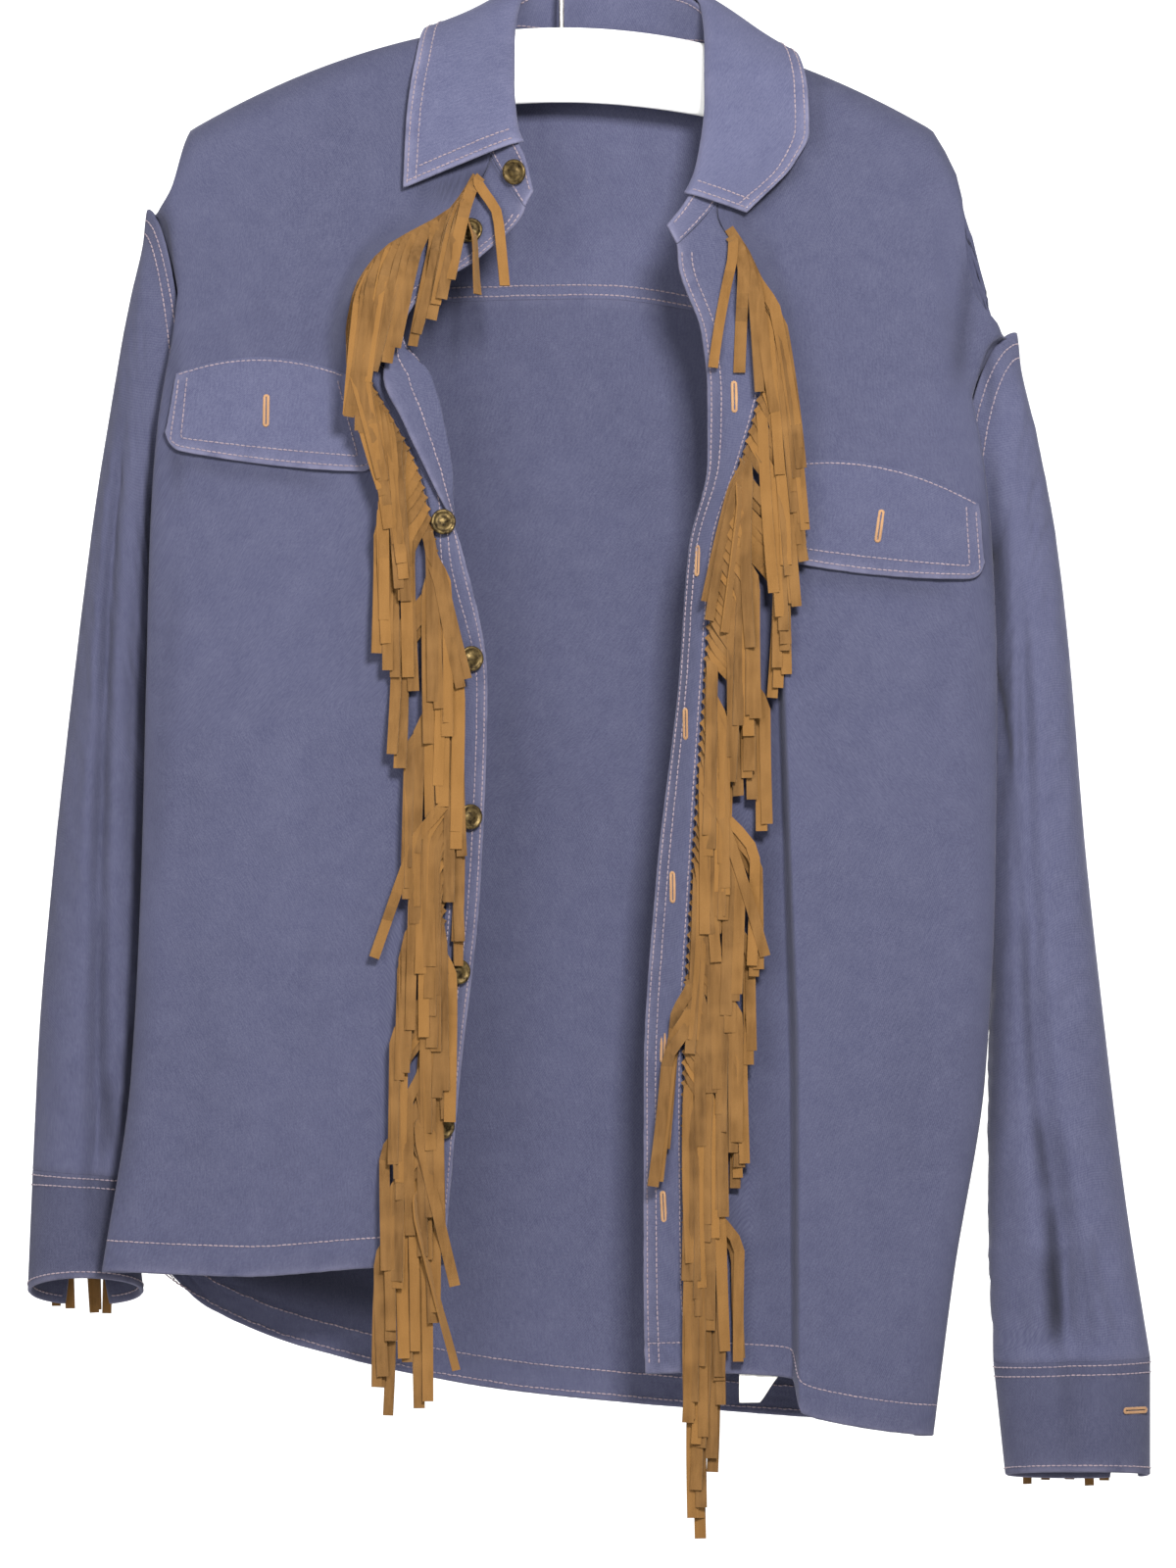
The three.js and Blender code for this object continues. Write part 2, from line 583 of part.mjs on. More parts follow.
// Sleeves: rings round the arm by share of the sleeve's length. Each ring has an outer and an
// inner end and reaches from frontY to backY; a long trough runs down its front.
const SLEEVE_COLUMNS = ['share', 'outerX', 'outerDown', 'innerX', 'innerDown', 'frontY', 'backY'];
const SLEEVE_RIGHT_ROWS = [
  [0, -241, 194, -224, 343, -22, 24],
  [0.03, -245, 211, -230, 355, -22, 24.5],
  [0.1, -254, 250, -237, 384, -22, 27],
  [0.2, -265, 312, -240, 425, -23, 32],
  [0.3, -273, 362, -241, 467, -23, 36],
  [0.5, -287, 474, -242, 549, -22, 40],
  [0.7, -299, 586, -243, 631, -20, 40],
  [0.85, -306, 669, -247, 693, -19, 38],
  [1, -310, 752, -253, 756, -18, 36],
];
const SLEEVE_LEFT_ROWS = [
  [0, 265, 266, 249, 378, -22, 24],
  [0.03, 269, 284, 254.5, 392, -22, 24.5],
  [0.1, 279, 326, 256, 427, -23, 27],
  [0.2, 290, 385, 256, 476, -24, 32],
  [0.3, 297, 445, 254, 524, -25, 36],
  [0.5, 307, 564.5, 252, 622, -24, 40],
  [0.7, 320, 684, 250, 720, -23, 40],
  [0.85, 331, 773, 250, 793, -22, 40],
  [1, 345, 862, 253, 865, -20, 38],
];
const SLEEVE_SEAM_SHIFT = 0.9;
const BOW_FADE = 0.05;
const SWELL_FADE = 0.14;
const TROUGH_FADE = 0.22;
const TROUGH_RIGHT = { fromShare: 0.12, fromPlace: 0.2, toPlace: 0.65, depth: 6, width: 0.1 };
const TROUGH_LEFT = { fromShare: 0.1, fromPlace: 0.66, toPlace: 0.5, depth: 7, width: 0.1 };

function makeSleeve(rows, armhole, trough) {
  const lines = table(SLEEVE_COLUMNS, rows);
  const outward = Math.sign(armhole.outerX);

  // angle 0 is the outer end, a quarter turn the front, a half turn the inner end
  const at = (share, angle) => {
    const across = (1 - Math.cos(angle)) / 2;
    const swell = Math.sin(angle);
    const middle = (lines.frontY(share) + lines.backY(share)) / 2;
    const half = (lines.backY(share) - lines.frontY(share)) / 2;
    const centre = lerp(0, middle, ease(share / SWELL_FADE));
    const reach = lerp(swell > 0 ? armhole.front : armhole.back, half, ease(share / SWELL_FADE));
    const bow = armhole.bow * Math.abs(swell) * (1 - ease(share / BOW_FADE));
    const place = lerp(trough.fromPlace, trough.toPlace, share);
    const near = Math.exp(-(((across - place) / trough.width) ** 2));
    const dip = swell > 0 ? trough.depth * near * ease((share - trough.fromShare) / TROUGH_FADE) : 0;
    const seam = SLEEVE_SEAM_SHIFT * (1 - ease(share / BOW_FADE));
    return point(
      lerp(lines.outerX(share), lines.innerX(share), across) + bow + outward * seam,
      centre - reach * swell + dip,
      lerp(lines.outerDown(share), lines.innerDown(share), across) + seam,
    );
  };
  return { at, lines };
}

const sleeveRight = makeSleeve(SLEEVE_RIGHT_ROWS, ARMHOLE_RIGHT, TROUGH_RIGHT);
const sleeveLeft = makeSleeve(SLEEVE_LEFT_ROWS, ARMHOLE_LEFT, TROUGH_LEFT);

const SLEEVE_AROUND = 2 * ARMHOLE_STEPS;
const SLEEVE_STEPS = 12;
const SLEEVE_BUNCH = 1.6;
const sleevePoint = (sleeve) => (turn, share) => sleeve.at(share, turn * 2 * Math.PI);
const sleeveTurns = shares(SLEEVE_AROUND).slice(0, -1);
const sleeveShares = shares(SLEEVE_STEPS).map((share) => share ** SLEEVE_BUNCH);
addPiece('sleeve_right', wall(sleevePoint(sleeveRight), sleeveTurns, sleeveShares, CLOTH, -1, true), DENIM);
addPiece('sleeve_left', wall(sleevePoint(sleeveLeft), sleeveTurns, sleeveShares, CLOTH, 1, true), DENIM);

// Cuffs: bands open at the back, unbuttoned, a little wider and flared at the wrist
const CUFF_RIGHT = {
  outerX: -313, innerX: -245, frontDown: 814, backDown: 832, frontY: -16, backY: 38,
  slit: 1.5 * Math.PI, topGap: 0.12, endGap: 0.42,
};
const CUFF_LEFT = {
  outerX: 345, innerX: 260, frontDown: 927, backDown: 934, frontY: -20, backY: 38,
  slit: 1.75 * Math.PI, topGap: 0.1, endGap: 0.3,
};
const CUFF_AROUND = 18;
const CUFF_STEPS = 2;

function makeCuff(cuff, sleeve) {
  return (turn, fall) => {
    const gap = lerp(cuff.topGap, cuff.endGap, fall);
    const angle = cuff.slit + gap + turn * (2 * Math.PI - 2 * gap);
    const start = sleeve.at(1, angle);
    const across = (1 - Math.cos(angle)) / 2;
    const swell = Math.sin(angle);
    const centre = (cuff.frontY + cuff.backY) / 2;
    const reach = (cuff.backY - cuff.frontY) / 2;
    const end = point(
      lerp(cuff.outerX, cuff.innerX, across),
      centre - reach * swell,
      lerp(cuff.frontDown, cuff.backDown, (1 - swell) / 2),
    );
    start.z -= SEAM_GAP;
    return start.lerp(end, fall);
  };
}

const cuffRight = makeCuff(CUFF_RIGHT, sleeveRight);
const cuffLeft = makeCuff(CUFF_LEFT, sleeveLeft);
addPiece('cuff_right', wall(cuffRight, shares(CUFF_AROUND), shares(CUFF_STEPS), BAND_CLOTH, -1), DENIM);
addPiece('cuff_left', wall(cuffLeft, shares(CUFF_AROUND), shares(CUFF_STEPS), BAND_CLOTH, 1), DENIM);

// A front's depth where it is crossed by a given x, between its corner and its seam
function frontDepth(front, x, down) {
  let low = CORNER_STATION;
  let high = SEAM_STATION;
  const rising = Math.sign(front.at(high, down).x - front.at(low, down).x);
  for (let k = 0; k < 24; k += 1) {
    const middle = (low + high) / 2;
    if ((x - front.at(middle, down).x) * rising > 0) low = middle;
    else high = middle;
  }
  return front.at((low + high) / 2, down).y;
}

// Pocket flaps: sewn along an arched top, standing off a little at the lower edge
const FLAP_RIGHT = {
  left: { x: -224, down: 287, endX: -230, endDown: 330 },
  right: { x: -125, down: 288, endX: -108, endDown: 344 },
  arch: 10, sag: 3,
};
const FLAP_LEFT = {
  left: { x: 124, down: 341, endX: 122, endDown: 394 },
  right: { x: 243, down: 363, endX: 246, endDown: 406 },
  arch: 12, sag: 4,
};
const FLAP_CLOTH = 1.6;
const FLAP_STAND_OFF = 2;
const FLAP_CORNER = 9;
const FLAP_STEPS = 10;

function flapPoint(flap, front) {
  return (place, fall) => {
    const across = clamp(place);
    const arch = 4 * across * (1 - across);
    const corner = Math.min(across, 1 - across) * (flap.right.endX - flap.left.endX);
    const inCorner = Math.max(FLAP_CORNER - corner, 0);
    const cornerLift = FLAP_CORNER - Math.sqrt(FLAP_CORNER ** 2 - inCorner ** 2);
    const topDown = lerp(flap.left.down, flap.right.down, across) - flap.arch * arch;
    const endDown = lerp(flap.left.endDown, flap.right.endDown, across) + flap.sag * arch - cornerLift;
    const topX = lerp(flap.left.x, flap.right.x, across);
    const x = lerp(topX, lerp(flap.left.endX, flap.right.endX, across), fall);
    const down = lerp(topDown, endDown, fall);
    return point(x, frontDepth(front, x, down) - LIFT - FLAP_CLOTH - FLAP_STAND_OFF * fall, down);
  };
}
const flapAcross = [0, 0.02, 0.05, ...shares(FLAP_STEPS).slice(1, -1), 0.95, 0.98, 1];
const flapFalls = shares(3);
const flapRight = flapPoint(FLAP_RIGHT, frontRight);
const flapLeft = flapPoint(FLAP_LEFT, frontLeft);
addPiece('pocket_flap_right', wall(flapRight, flapAcross, flapFalls, FLAP_CLOTH, -1), DENIM);
addPiece('pocket_flap_left', wall(flapLeft, flapAcross, flapFalls, FLAP_CLOTH, -1), DENIM);

// Suede fringe: flat strands grow out of a narrow strip that lies beside a seam. Each strand
// bends down, moves out to its own lane and hangs. Higher strands lie outside lower ones.
const SUEDE = { color: 0x7d5a3c, roughness: 0.95, metalness: 0 };
const STRAND_WIDTH = 4.8;
const STRAND_THICKNESS = 1.2;
const STRAND_PITCH = 10;
const STRIP_THICKNESS = 1.2;
const STRIP_NEAR = 1.2;
const STRIP_FAR = 7;
const STRIP_REACH = 6;
const LANES = 5;
const LANE_PITCH = 5.6;
const BEND = 7;
const LANE_DROP = 3;
const LANE_FROM = 13;
const BASE_WINDOW = 30;
const SWAY = 0.25;

// How far a strand stands off the fringe's base, by its distance below its root
const strandLift = (drop) => 3.4 + 3.4 * (1 - Math.exp(-(drop - BEND) / 16)) + 0.065 * (drop - BEND);

// A repeatable spread of -1 to 1 for the strand "k"
const spread = (k, salt) => 2 * ((Math.sin(k * 12.9898 + salt * 78.233) * 43758.5453) % 1 + 1) % 2 - 1;

// The solid of one strip and its strands. Each root is four corners of the strip's face, each
// strand a list of four-sided rings that follows them.
function fringe(cells) {
  const vertices = [];
  const triangles = [];
  const push = (p) => vertices.push(p.x, p.y, p.z) / 3 - 1;
  const quad = (a, b, c, d) => triangles.push(a, b, c, a, c, d);
  const face = cells.edges.map((edge) => edge.face.map(push));
  const under = cells.edges.map((edge) => edge.under.map(push));
  const last = cells.edges.length - 1;
  for (let k = 0; k < last; k += 1) {
    quad(under[k][0], under[k][1], under[k + 1][1], under[k + 1][0]);
    quad(face[k][0], under[k][0], under[k + 1][0], face[k + 1][0]);
    quad(under[k][1], face[k][1], face[k + 1][1], under[k + 1][1]);
    let ring = [face[k][0], face[k][1], face[k + 1][1], face[k + 1][0]];
    cells.strands[k].forEach((corners) => {
      const next = corners.map(push);
      for (let side = 0; side < 4; side += 1) {
        const after = (side + 1) % 4;
        quad(ring[side], next[side], next[after], ring[after]);
      }
      ring = next;
    });
    quad(ring[3], ring[2], ring[1], ring[0]);
  }
  quad(face[0][0], face[0][1], under[0][1], under[0][0]);
  quad(face[last][1], face[last][0], under[last][0], under[last][1]);
  return meshFrom(vertices, triangles);
}

// Four corners of a flat strand: its front edge, then its back edge
function strandRing(x, y, down) {
  const half = STRAND_WIDTH / 2;
  return [
    point(x - half, y, down), point(x + half, y, down),
    point(x + half, y + STRAND_THICKNESS, down), point(x - half, y + STRAND_THICKNESS, down),
  ];
}

// The foremost depth of a front close to a place on it
function foremost(front, x, down) {
  const near = [-STRIP_REACH, 0, STRIP_REACH].map((shift) => frontDepth(front, x, down + shift));
  return Math.min(...near);
}

// The fringe beside a front's placket seam, from one height to another
function frontFringe(front, outward, from, to, lengthOf, turnDown) {
  const seamAt = (down) => front.at(SEAM_STATION, down);
  const downs = [from];
  while (downs[downs.length - 1] < to) {
    const here = downs[downs.length - 1];
    const slope = seamAt(here + 1).distanceTo(seamAt(here));
    downs.push(here + STRAND_PITCH / slope);
  }
  const base = (down) => {
    let least = 0;
    for (let shift = -BASE_WINDOW; shift <= BASE_WINDOW; shift += 10) {
      [SEAM_STATION - 0.06, SEAM_STATION, 0.9, 1].forEach((station) => {
        least = Math.min(least, front.at(station, Math.max(down + shift, from)).y);
      });
    }
    return least;
  };
  const edges = downs.map((down) => {
    const seam = seamAt(down).x;
    const places = [STRIP_NEAR, STRIP_FAR].map((reach) => seam + outward * reach);
    const ends = outward > 0 ? places : places.reverse();
    const depths = ends.map((x) => foremost(front, x, down) - LIFT);
    return {
      face: ends.map((x, k) => point(x, depths[k] - STRIP_THICKNESS, down)),
      under: ends.map((x, k) => point(x, depths[k], down)),
    };
  });
  const lastUse = new Map();
  const strands = downs.slice(1).map((_, k) => {
    const root = (downs[k] + downs[k + 1]) / 2;
    const rootX = seamAt(root).x + outward * (STRIP_NEAR + STRIP_FAR) / 2;
    const first = Math.round(outward * rootX / LANE_PITCH);
    const free = counts(root < turnDown ? 0 : LANES - 1).map((lane) => first + lane);
    const since = (lane) => k - (lastUse.get(lane) ?? -LANES);
    const lane = free.reduce((best, next) => (since(next) >= since(best) ? next : best));
    lastUse.set(lane, k);
    const reach = outward * (lane * LANE_PITCH + spread(k, 1) * SWAY) - rootX;
    const turnAt = BEND + LANE_FROM + LANE_DROP * (lane - first);
    return [[BEND, 0.1], [turnAt, 1], [lengthOf(k, root), 1]].map(([drop, share]) => {
      const down = root + drop;
      return strandRing(rootX + reach * share, base(down) - strandLift(drop), down);
    });
  });
  return fringe({ edges, strands });
}

const FRINGE_RIGHT = { from: 172, to: 797, turnDown: 228, length: 108, vary: 14, endLength: 92 };
const FRINGE_LEFT = { from: 203, to: 859, turnDown: 222, length: 110, vary: 14, endLength: 96 };
const lengthsOf = (plan) => (k, root) => {
  const near = ease((root - plan.to + plan.length) / plan.length);
  return lerp(plan.length, plan.endLength, near) + plan.vary * (spread(k, 3) - 1) / 2;
};
addPiece('fringe_right', frontFringe(
  frontRight, -1, FRINGE_RIGHT.from, FRINGE_RIGHT.to, lengthsOf(FRINGE_RIGHT), FRINGE_RIGHT.turnDown,
), SUEDE);
addPiece('fringe_left', frontFringe(
  frontLeft, 1, FRINGE_LEFT.from, FRINGE_LEFT.to, lengthsOf(FRINGE_LEFT), FRINGE_LEFT.turnDown,
), SUEDE);

// Short fringes on the backs of the sleeves, which hang behind the cuffs
function sleeveFringe(sleeve, plan) {
  const outward = (turn, share, lift) => {
    const p = sleeve.at(share, turn);
    return point(p.x, p.y + lift, -p.z);
  };
  const edges = stations(plan.fromTurn, plan.toTurn, plan.strands).map((turn) => ({
    face: [plan.share - plan.rise, plan.share].map((share) => outward(turn, share, LIFT + STRIP_THICKNESS)),
    under: [plan.share - plan.rise, plan.share].map((share) => outward(turn, share, LIFT)),
  }));
  const strands = edges.slice(1).map((edge, k) => {
    const corners = [edges[k].face[0], edges[k].face[1], edge.face[1], edge.face[0]];
    const x = (corners[0].x + corners[3].x) / 2;
    const y = Math.max(corners[1].y, corners[2].y) + plan.off;
    const width = Math.abs(corners[0].x - corners[3].x) * 0.84;
    const length = plan.length + plan.vary * spread(k, 5);
    return [[3, 0], [length, plan.lean]].map(([drop, lean]) => {
      const down = -corners[1].z + drop;
      const half = width / 2;
      const near = half * Math.sign(corners[0].x - corners[3].x);
      const back = y + lean + STRAND_THICKNESS;
      return [
        point(x + near, back, down), point(x + near, y + lean, down),
        point(x - near, y + lean, down), point(x - near, back, down),
      ];
    });
  });
  return fringe({ edges, strands });
}
const SLEEVE_FRINGE_RIGHT = {
  fromTurn: 1.72 * Math.PI, toTurn: 1.3 * Math.PI, strands: 7, share: 0.972, rise: 0.012,
  off: 1.6, lean: 4, length: 92, vary: 6,
};
const SLEEVE_FRINGE_LEFT = {
  fromTurn: 1.3 * Math.PI, toTurn: 1.76 * Math.PI, strands: 9, share: 0.972, rise: 0.012,
  off: 1.6, lean: 4, length: 88, vary: 6,
};
addPiece('sleeve_fringe_right', sleeveFringe(sleeveRight, SLEEVE_FRINGE_RIGHT), SUEDE);
addPiece('sleeve_fringe_left', sleeveFringe(sleeveLeft, SLEEVE_FRINGE_LEFT), SUEDE);

// Shank buttons down the right placket and one on the collar stand
const BRASS = { color: 0x8a7448, roughness: 0.45, metalness: 0.8 };
const BUTTON = { radius: 7.5, head: 1.9, shankRadius: 2.4, gap: 0.35, sides: 12 };
const BUTTON_COLUMNS = ['down', 'station', 'shank'];
const BUTTON_ROWS = [
  [205, 0.89, 1.8], [271, 0.84, 1.8], [374, 0.84, 3.4], [453, 0.9, 1.8], [545, 0.9, 1.8],
  [635, 0.9, 1.8], [725, 0.9, 1.8],
];

function button(centre, normal, shank) {
  const top = shank + BUTTON.head;
  const profile = [
    [0, 0], [BUTTON.shankRadius, 0], [BUTTON.shankRadius, shank], [BUTTON.radius, shank],
    [BUTTON.radius - 0.4, top], [0, top],
  ].map(([radius, height]) => new THREE.Vector2(radius, height));
  const turned = new THREE.LatheGeometry(profile, BUTTON.sides);
  const upright = new THREE.Quaternion().setFromUnitVectors(new THREE.Vector3(0, 1, 0), normal);
  turned.applyQuaternion(upright);
  const place = centre.clone().addScaledVector(normal, BUTTON.gap);
  turned.translate(place.x, place.y, place.z);
  return welded(turned);
}

function normalAt(pointOf, u, v, side) {
  const along = pointOf(u + NORMAL_STEP, v).sub(pointOf(u - NORMAL_STEP, v));
  const below = pointOf(u, v + NORMAL_STEP).sub(pointOf(u, v - NORMAL_STEP));
  return along.cross(below).setLength(side);
}
BUTTON_ROWS.forEach((row, k) => {
  const [down, station, shank] = BUTTON_COLUMNS.map((_, column) => row[column]);
  const normal = normalAt(frontRight.at, station, down, -1);
  addPiece(`button_${k + 1}`, button(frontRight.at(station, down), normal, shank), BRASS);
});
const COLLAR_BUTTON = { row: 1, up: 0.5, shank: 1.8 };
addPiece('button_collar', button(
  standPoint(COLLAR_BUTTON.row, COLLAR_BUTTON.up),
  normalAt(standPoint, COLLAR_BUTTON.row, COLLAR_BUTTON.up, -1),
  COLLAR_BUTTON.shank,
), BRASS);

// A small cloth label sewn inside the left front, just showing below its hem
const LABEL = { left: 104, right: 126, from: 851, to: 886, thickness: 1, gap: 0.8 };
const LABEL_CLOTH = { color: 0xdedbd2, roughness: 0.9, metalness: 0 };
const labelPoint = (across, fall) => {
  const x = lerp(LABEL.left, LABEL.right, across);
  const down = lerp(LABEL.from, LABEL.to, fall);
  const hung = Math.min(down, frontLeft.hem(SEAM_STATION) - 2);
  return point(x, frontDepth(frontLeft, x, hung) + CLOTH + LABEL.gap, down);
};
addPiece('label', wall(labelPoint, shares(2), shares(3), LABEL.thickness, -1), LABEL_CLOTH);

// The hanger: a broad arched bar, thin and tall in the middle, deep and low at its ends
const WHITE = { color: 0xf2f1ee, roughness: 0.5, metalness: 0 };
const STEEL = { color: 0xb9bbbd, roughness: 0.3, metalness: 1 };
const HANGER = {
  clear: 3.6, height: 44, endHeight: 25, half: 6.5, endHalf: 15, tip: 0.55, steps: 18, around: 12,
};
const HOOK = { wire: 1.6, radius: 22, stem: 52, depth: 9, holeGap: 0.35, steps: 30, sides: 8 };

function hangerBar() {
  const outline = [];
  for (let i = 0; i <= HANGER.steps; i += 1) {
    const reach = lerp(-1, 1, i / HANGER.steps);
    const x = reach * ARCH_REACH * 0.985;
    const tip = i === 0 || i === HANGER.steps ? HANGER.tip : 1;
    const height = lerp(HANGER.height, HANGER.endHeight, Math.abs(reach) ** 3);
    const half = lerp(HANGER.half, HANGER.endHalf, reach ** 2) * tip;
    const middle = archDown(x) + HANGER.clear + height / 2;
    outline.push({ x, half, height: height * tip, middle });
  }
  const vertices = [];
  outline.forEach((section) => {
    for (let k = 0; k < HANGER.around; k += 1) {
      const turn = (k / HANGER.around) * 2 * Math.PI;
      const round = (value) => Math.sign(value) * Math.abs(value) ** 0.7;
      vertices.push(
        section.x,
        section.half * round(Math.sin(turn)),
        -section.middle + (section.height / 2) * round(Math.cos(turn)),
      );
    }
  });
  const triangles = [];
  const id = (i, k) => i * HANGER.around + (k % HANGER.around);
  for (let i = 0; i < HANGER.steps; i += 1) {
    for (let k = 0; k < HANGER.around; k += 1) {
      triangles.push(id(i, k), id(i + 1, k + 1), id(i, k + 1), id(i, k), id(i + 1, k), id(i + 1, k + 1));
    }
  }
  for (let k = 1; k < HANGER.around - 1; k += 1) {
    triangles.push(id(0, 0), id(0, k), id(0, k + 1));
    triangles.push(id(HANGER.steps, 0), id(HANGER.steps, k + 1), id(HANGER.steps, k));
  }
  return meshFrom(vertices, triangles);
}

// The wire hook: up from its hole in the bar, round over the origin and down on the other side
function wireHook() {
  const centreDown = HOOK.radius;
  const round = HOOK.radius + HOOK.wire;
  const points = [
    point(0, 0, ARCH_TOP + HANGER.clear + HOOK.depth), point(0, 0, ARCH_TOP - 8), point(0, 0, HOOK.stem + 4),
  ];
  for (let angle = -60; angle <= 200; angle += 20) {
    const turn = THREE.MathUtils.degToRad(angle);
    points.push(point(round * Math.cos(turn), 0, centreDown - round * Math.sin(turn)));
  }
  const ring = new THREE.Shape().absarc(0, 0, HOOK.wire, 0, 2 * Math.PI);
  return new THREE.ExtrudeGeometry(ring, {
    steps: HOOK.steps,
    curveSegments: HOOK.sides / 4,
    extrudePath: new THREE.CatmullRomCurve3(points),
  });
}

function hookHole() {
  const top = ARCH_TOP + HANGER.clear;
  const radius = HOOK.wire + HOOK.holeGap;
  const hole = new THREE.CylinderGeometry(radius, radius, 2 * HOOK.depth + 1, 12);
  hole.rotateX(Math.PI / 2);
  hole.translate(0, 0, -top);
  return welded(hole);
}

addPiece('hanger', cut(hangerBar(), [hookHole()]), WHITE);
addPiece('hook', welded(wireHook()), STEEL);

export default group;
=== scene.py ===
"""A fringed denim shirt on a broad shoulder hanger: fine cloth shells, topstitching, suede
fringes, buttons and materials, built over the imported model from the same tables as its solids.
Lengths are in millimetres until a mesh is made; "down" is a distance below the origin."""
import math

import bmesh
import bpy
import numpy as np
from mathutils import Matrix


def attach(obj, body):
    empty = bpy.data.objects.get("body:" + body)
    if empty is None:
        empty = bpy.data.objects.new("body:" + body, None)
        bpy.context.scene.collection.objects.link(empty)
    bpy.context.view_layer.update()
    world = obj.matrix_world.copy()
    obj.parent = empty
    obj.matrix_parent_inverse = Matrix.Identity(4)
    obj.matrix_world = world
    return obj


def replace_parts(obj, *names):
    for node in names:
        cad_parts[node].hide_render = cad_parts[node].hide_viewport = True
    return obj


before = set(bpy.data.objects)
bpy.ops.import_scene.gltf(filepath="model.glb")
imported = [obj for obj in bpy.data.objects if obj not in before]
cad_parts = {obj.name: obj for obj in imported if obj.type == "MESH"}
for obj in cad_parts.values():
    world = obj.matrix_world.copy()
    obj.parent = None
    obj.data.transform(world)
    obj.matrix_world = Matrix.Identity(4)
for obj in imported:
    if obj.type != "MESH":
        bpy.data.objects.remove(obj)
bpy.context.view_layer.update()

# ---------------------------------------------------------------- camera
VIEW_HEIGHT = 0.912
VIEW_CENTRE = (0.0155, -0.526)
CAMERA_HEIGHT = -0.500
CAMERA_AWAY = 7.0
FRONT_PLANE = -0.045

camera_data = bpy.data.cameras.new("camera")
camera = bpy.data.objects.new("camera", camera_data)
bpy.context.scene.collection.objects.link(camera)
camera.location = (VIEW_CENTRE[0], -CAMERA_AWAY, CAMERA_HEIGHT)
camera.rotation_euler = (math.radians(90), 0, 0)
camera_data.sensor_width = 36
camera_data.lens = 36 * (CAMERA_AWAY + FRONT_PLANE) / VIEW_HEIGHT
camera_data.shift_y = (VIEW_CENTRE[1] - CAMERA_HEIGHT) / VIEW_HEIGHT
bpy.context.scene.camera = camera
bpy.context.scene.view_settings.view_transform = "Standard"

# ---------------------------------------------------------------- sizes, as in the solids
CLOTH = 1.7
BAND_CLOTH = 2.2
SEAM_GAP = 0.5
LIFT = 0.6
ARCH_TOP = 79.7
ARCH_CURVE = 0.00135
ARCH_REACH = 217
TOP_ROUNDING = 22
TOP_FADE = 60
ARMHOLE_RIGHT = dict(outerX=-241, outerDown=194, innerX=-224, innerDown=343, bow=13, front=22, back=24)
ARMHOLE_LEFT = dict(outerX=265, outerDown=266, innerX=249, innerDown=378, bow=-22, front=22, back=24)
ARMHOLE_STEPS = 12
BELOW_STEPS = 8
FRONT_STEPS = ARMHOLE_STEPS + BELOW_STEPS
TOP_STEPS = 3
YOKE_STEPS = 5
BACK_STEPS = FRONT_STEPS - YOKE_STEPS
FRONT_STATIONS = [0, 0.05, 0.09, 0.17, 0.38, 0.56, 0.8, 0.9, 1]
CORNER_STATION = 0.09
RIDGE_STATION = 0.03
BACK_RIDGE_STATION = 0.016
SEAM_STATION = 0.8
NECK_STATION = 0.66
SHOULDER_STATION = 0.17
FACE_SHIFT = 13
LIP_OUT = 0.12
LIP_FORWARD = 0.62

FRONT_COLUMNS = [
    "down", "sideX", "cornerX", "cornerY", "faceY", "crestX", "crestY", "troughX", "troughY",
    "seamX", "seamY", "rollX", "rollY", "edgeX", "edgeY",
]
FRONT_RIGHT_ROWS = [
    [104, -241, -218, -18, -18, -173, -18, -110, -17, -52, -26, -40, -30, -30, -34],
    [144, -241, -219, -20, -21, -173, -22, -110, -22, -50, -34, -38, -38, -26, -40],
    [190, -241, -221, -24, -25, -173, -27, -116, -27, -62, -44, -42, -48, -24, -50],
    [219, -233, -222, -27, -29, -173, -30, -127, -30, -101, -50, -73, -54, -48, -52],
    [242, -226, -224, -30, -32, -174, -34, -136, -33, -115, -54, -96, -58, -82, -57],
    [267, -221, -227, -33, -36, -176, -37, -141, -36, -119, -57, -94, -58, -96, -63],
    [289, -219, -231, -35, -39, -176, -40, -141, -39, -112, -57, -76, -54, -103, -64],
    [315, -220, -235, -36, -42, -176, -43, -136, -42, -97, -55, -69, -50, -92, -62],
    [349, -224, -238, -36, -44, -176, -46, -130, -45, -81, -53, -64, -48, -76, -58],
    [389, -221, -240, -35, -45, -174, -48, -127, -46, -73, -52, -65, -50, -58, -47],
    [469, -219, -242, -34, -45, -173, -50, -127, -44, -64, -50, -52, -46, -43, -40],
    [583, -221, -245, -33, -43, -172, -49, -130, -42, -67, -48, -56, -44, -47, -38],
    [697, -229, -251, -31, -41, -177, -48, -139, -40, -78, -46, -68, -43, -59, -37],
    [811, -237, -268, -30, -38, -187, -46, -144, -39, -85, -44, -76, -41, -69, -36],
]
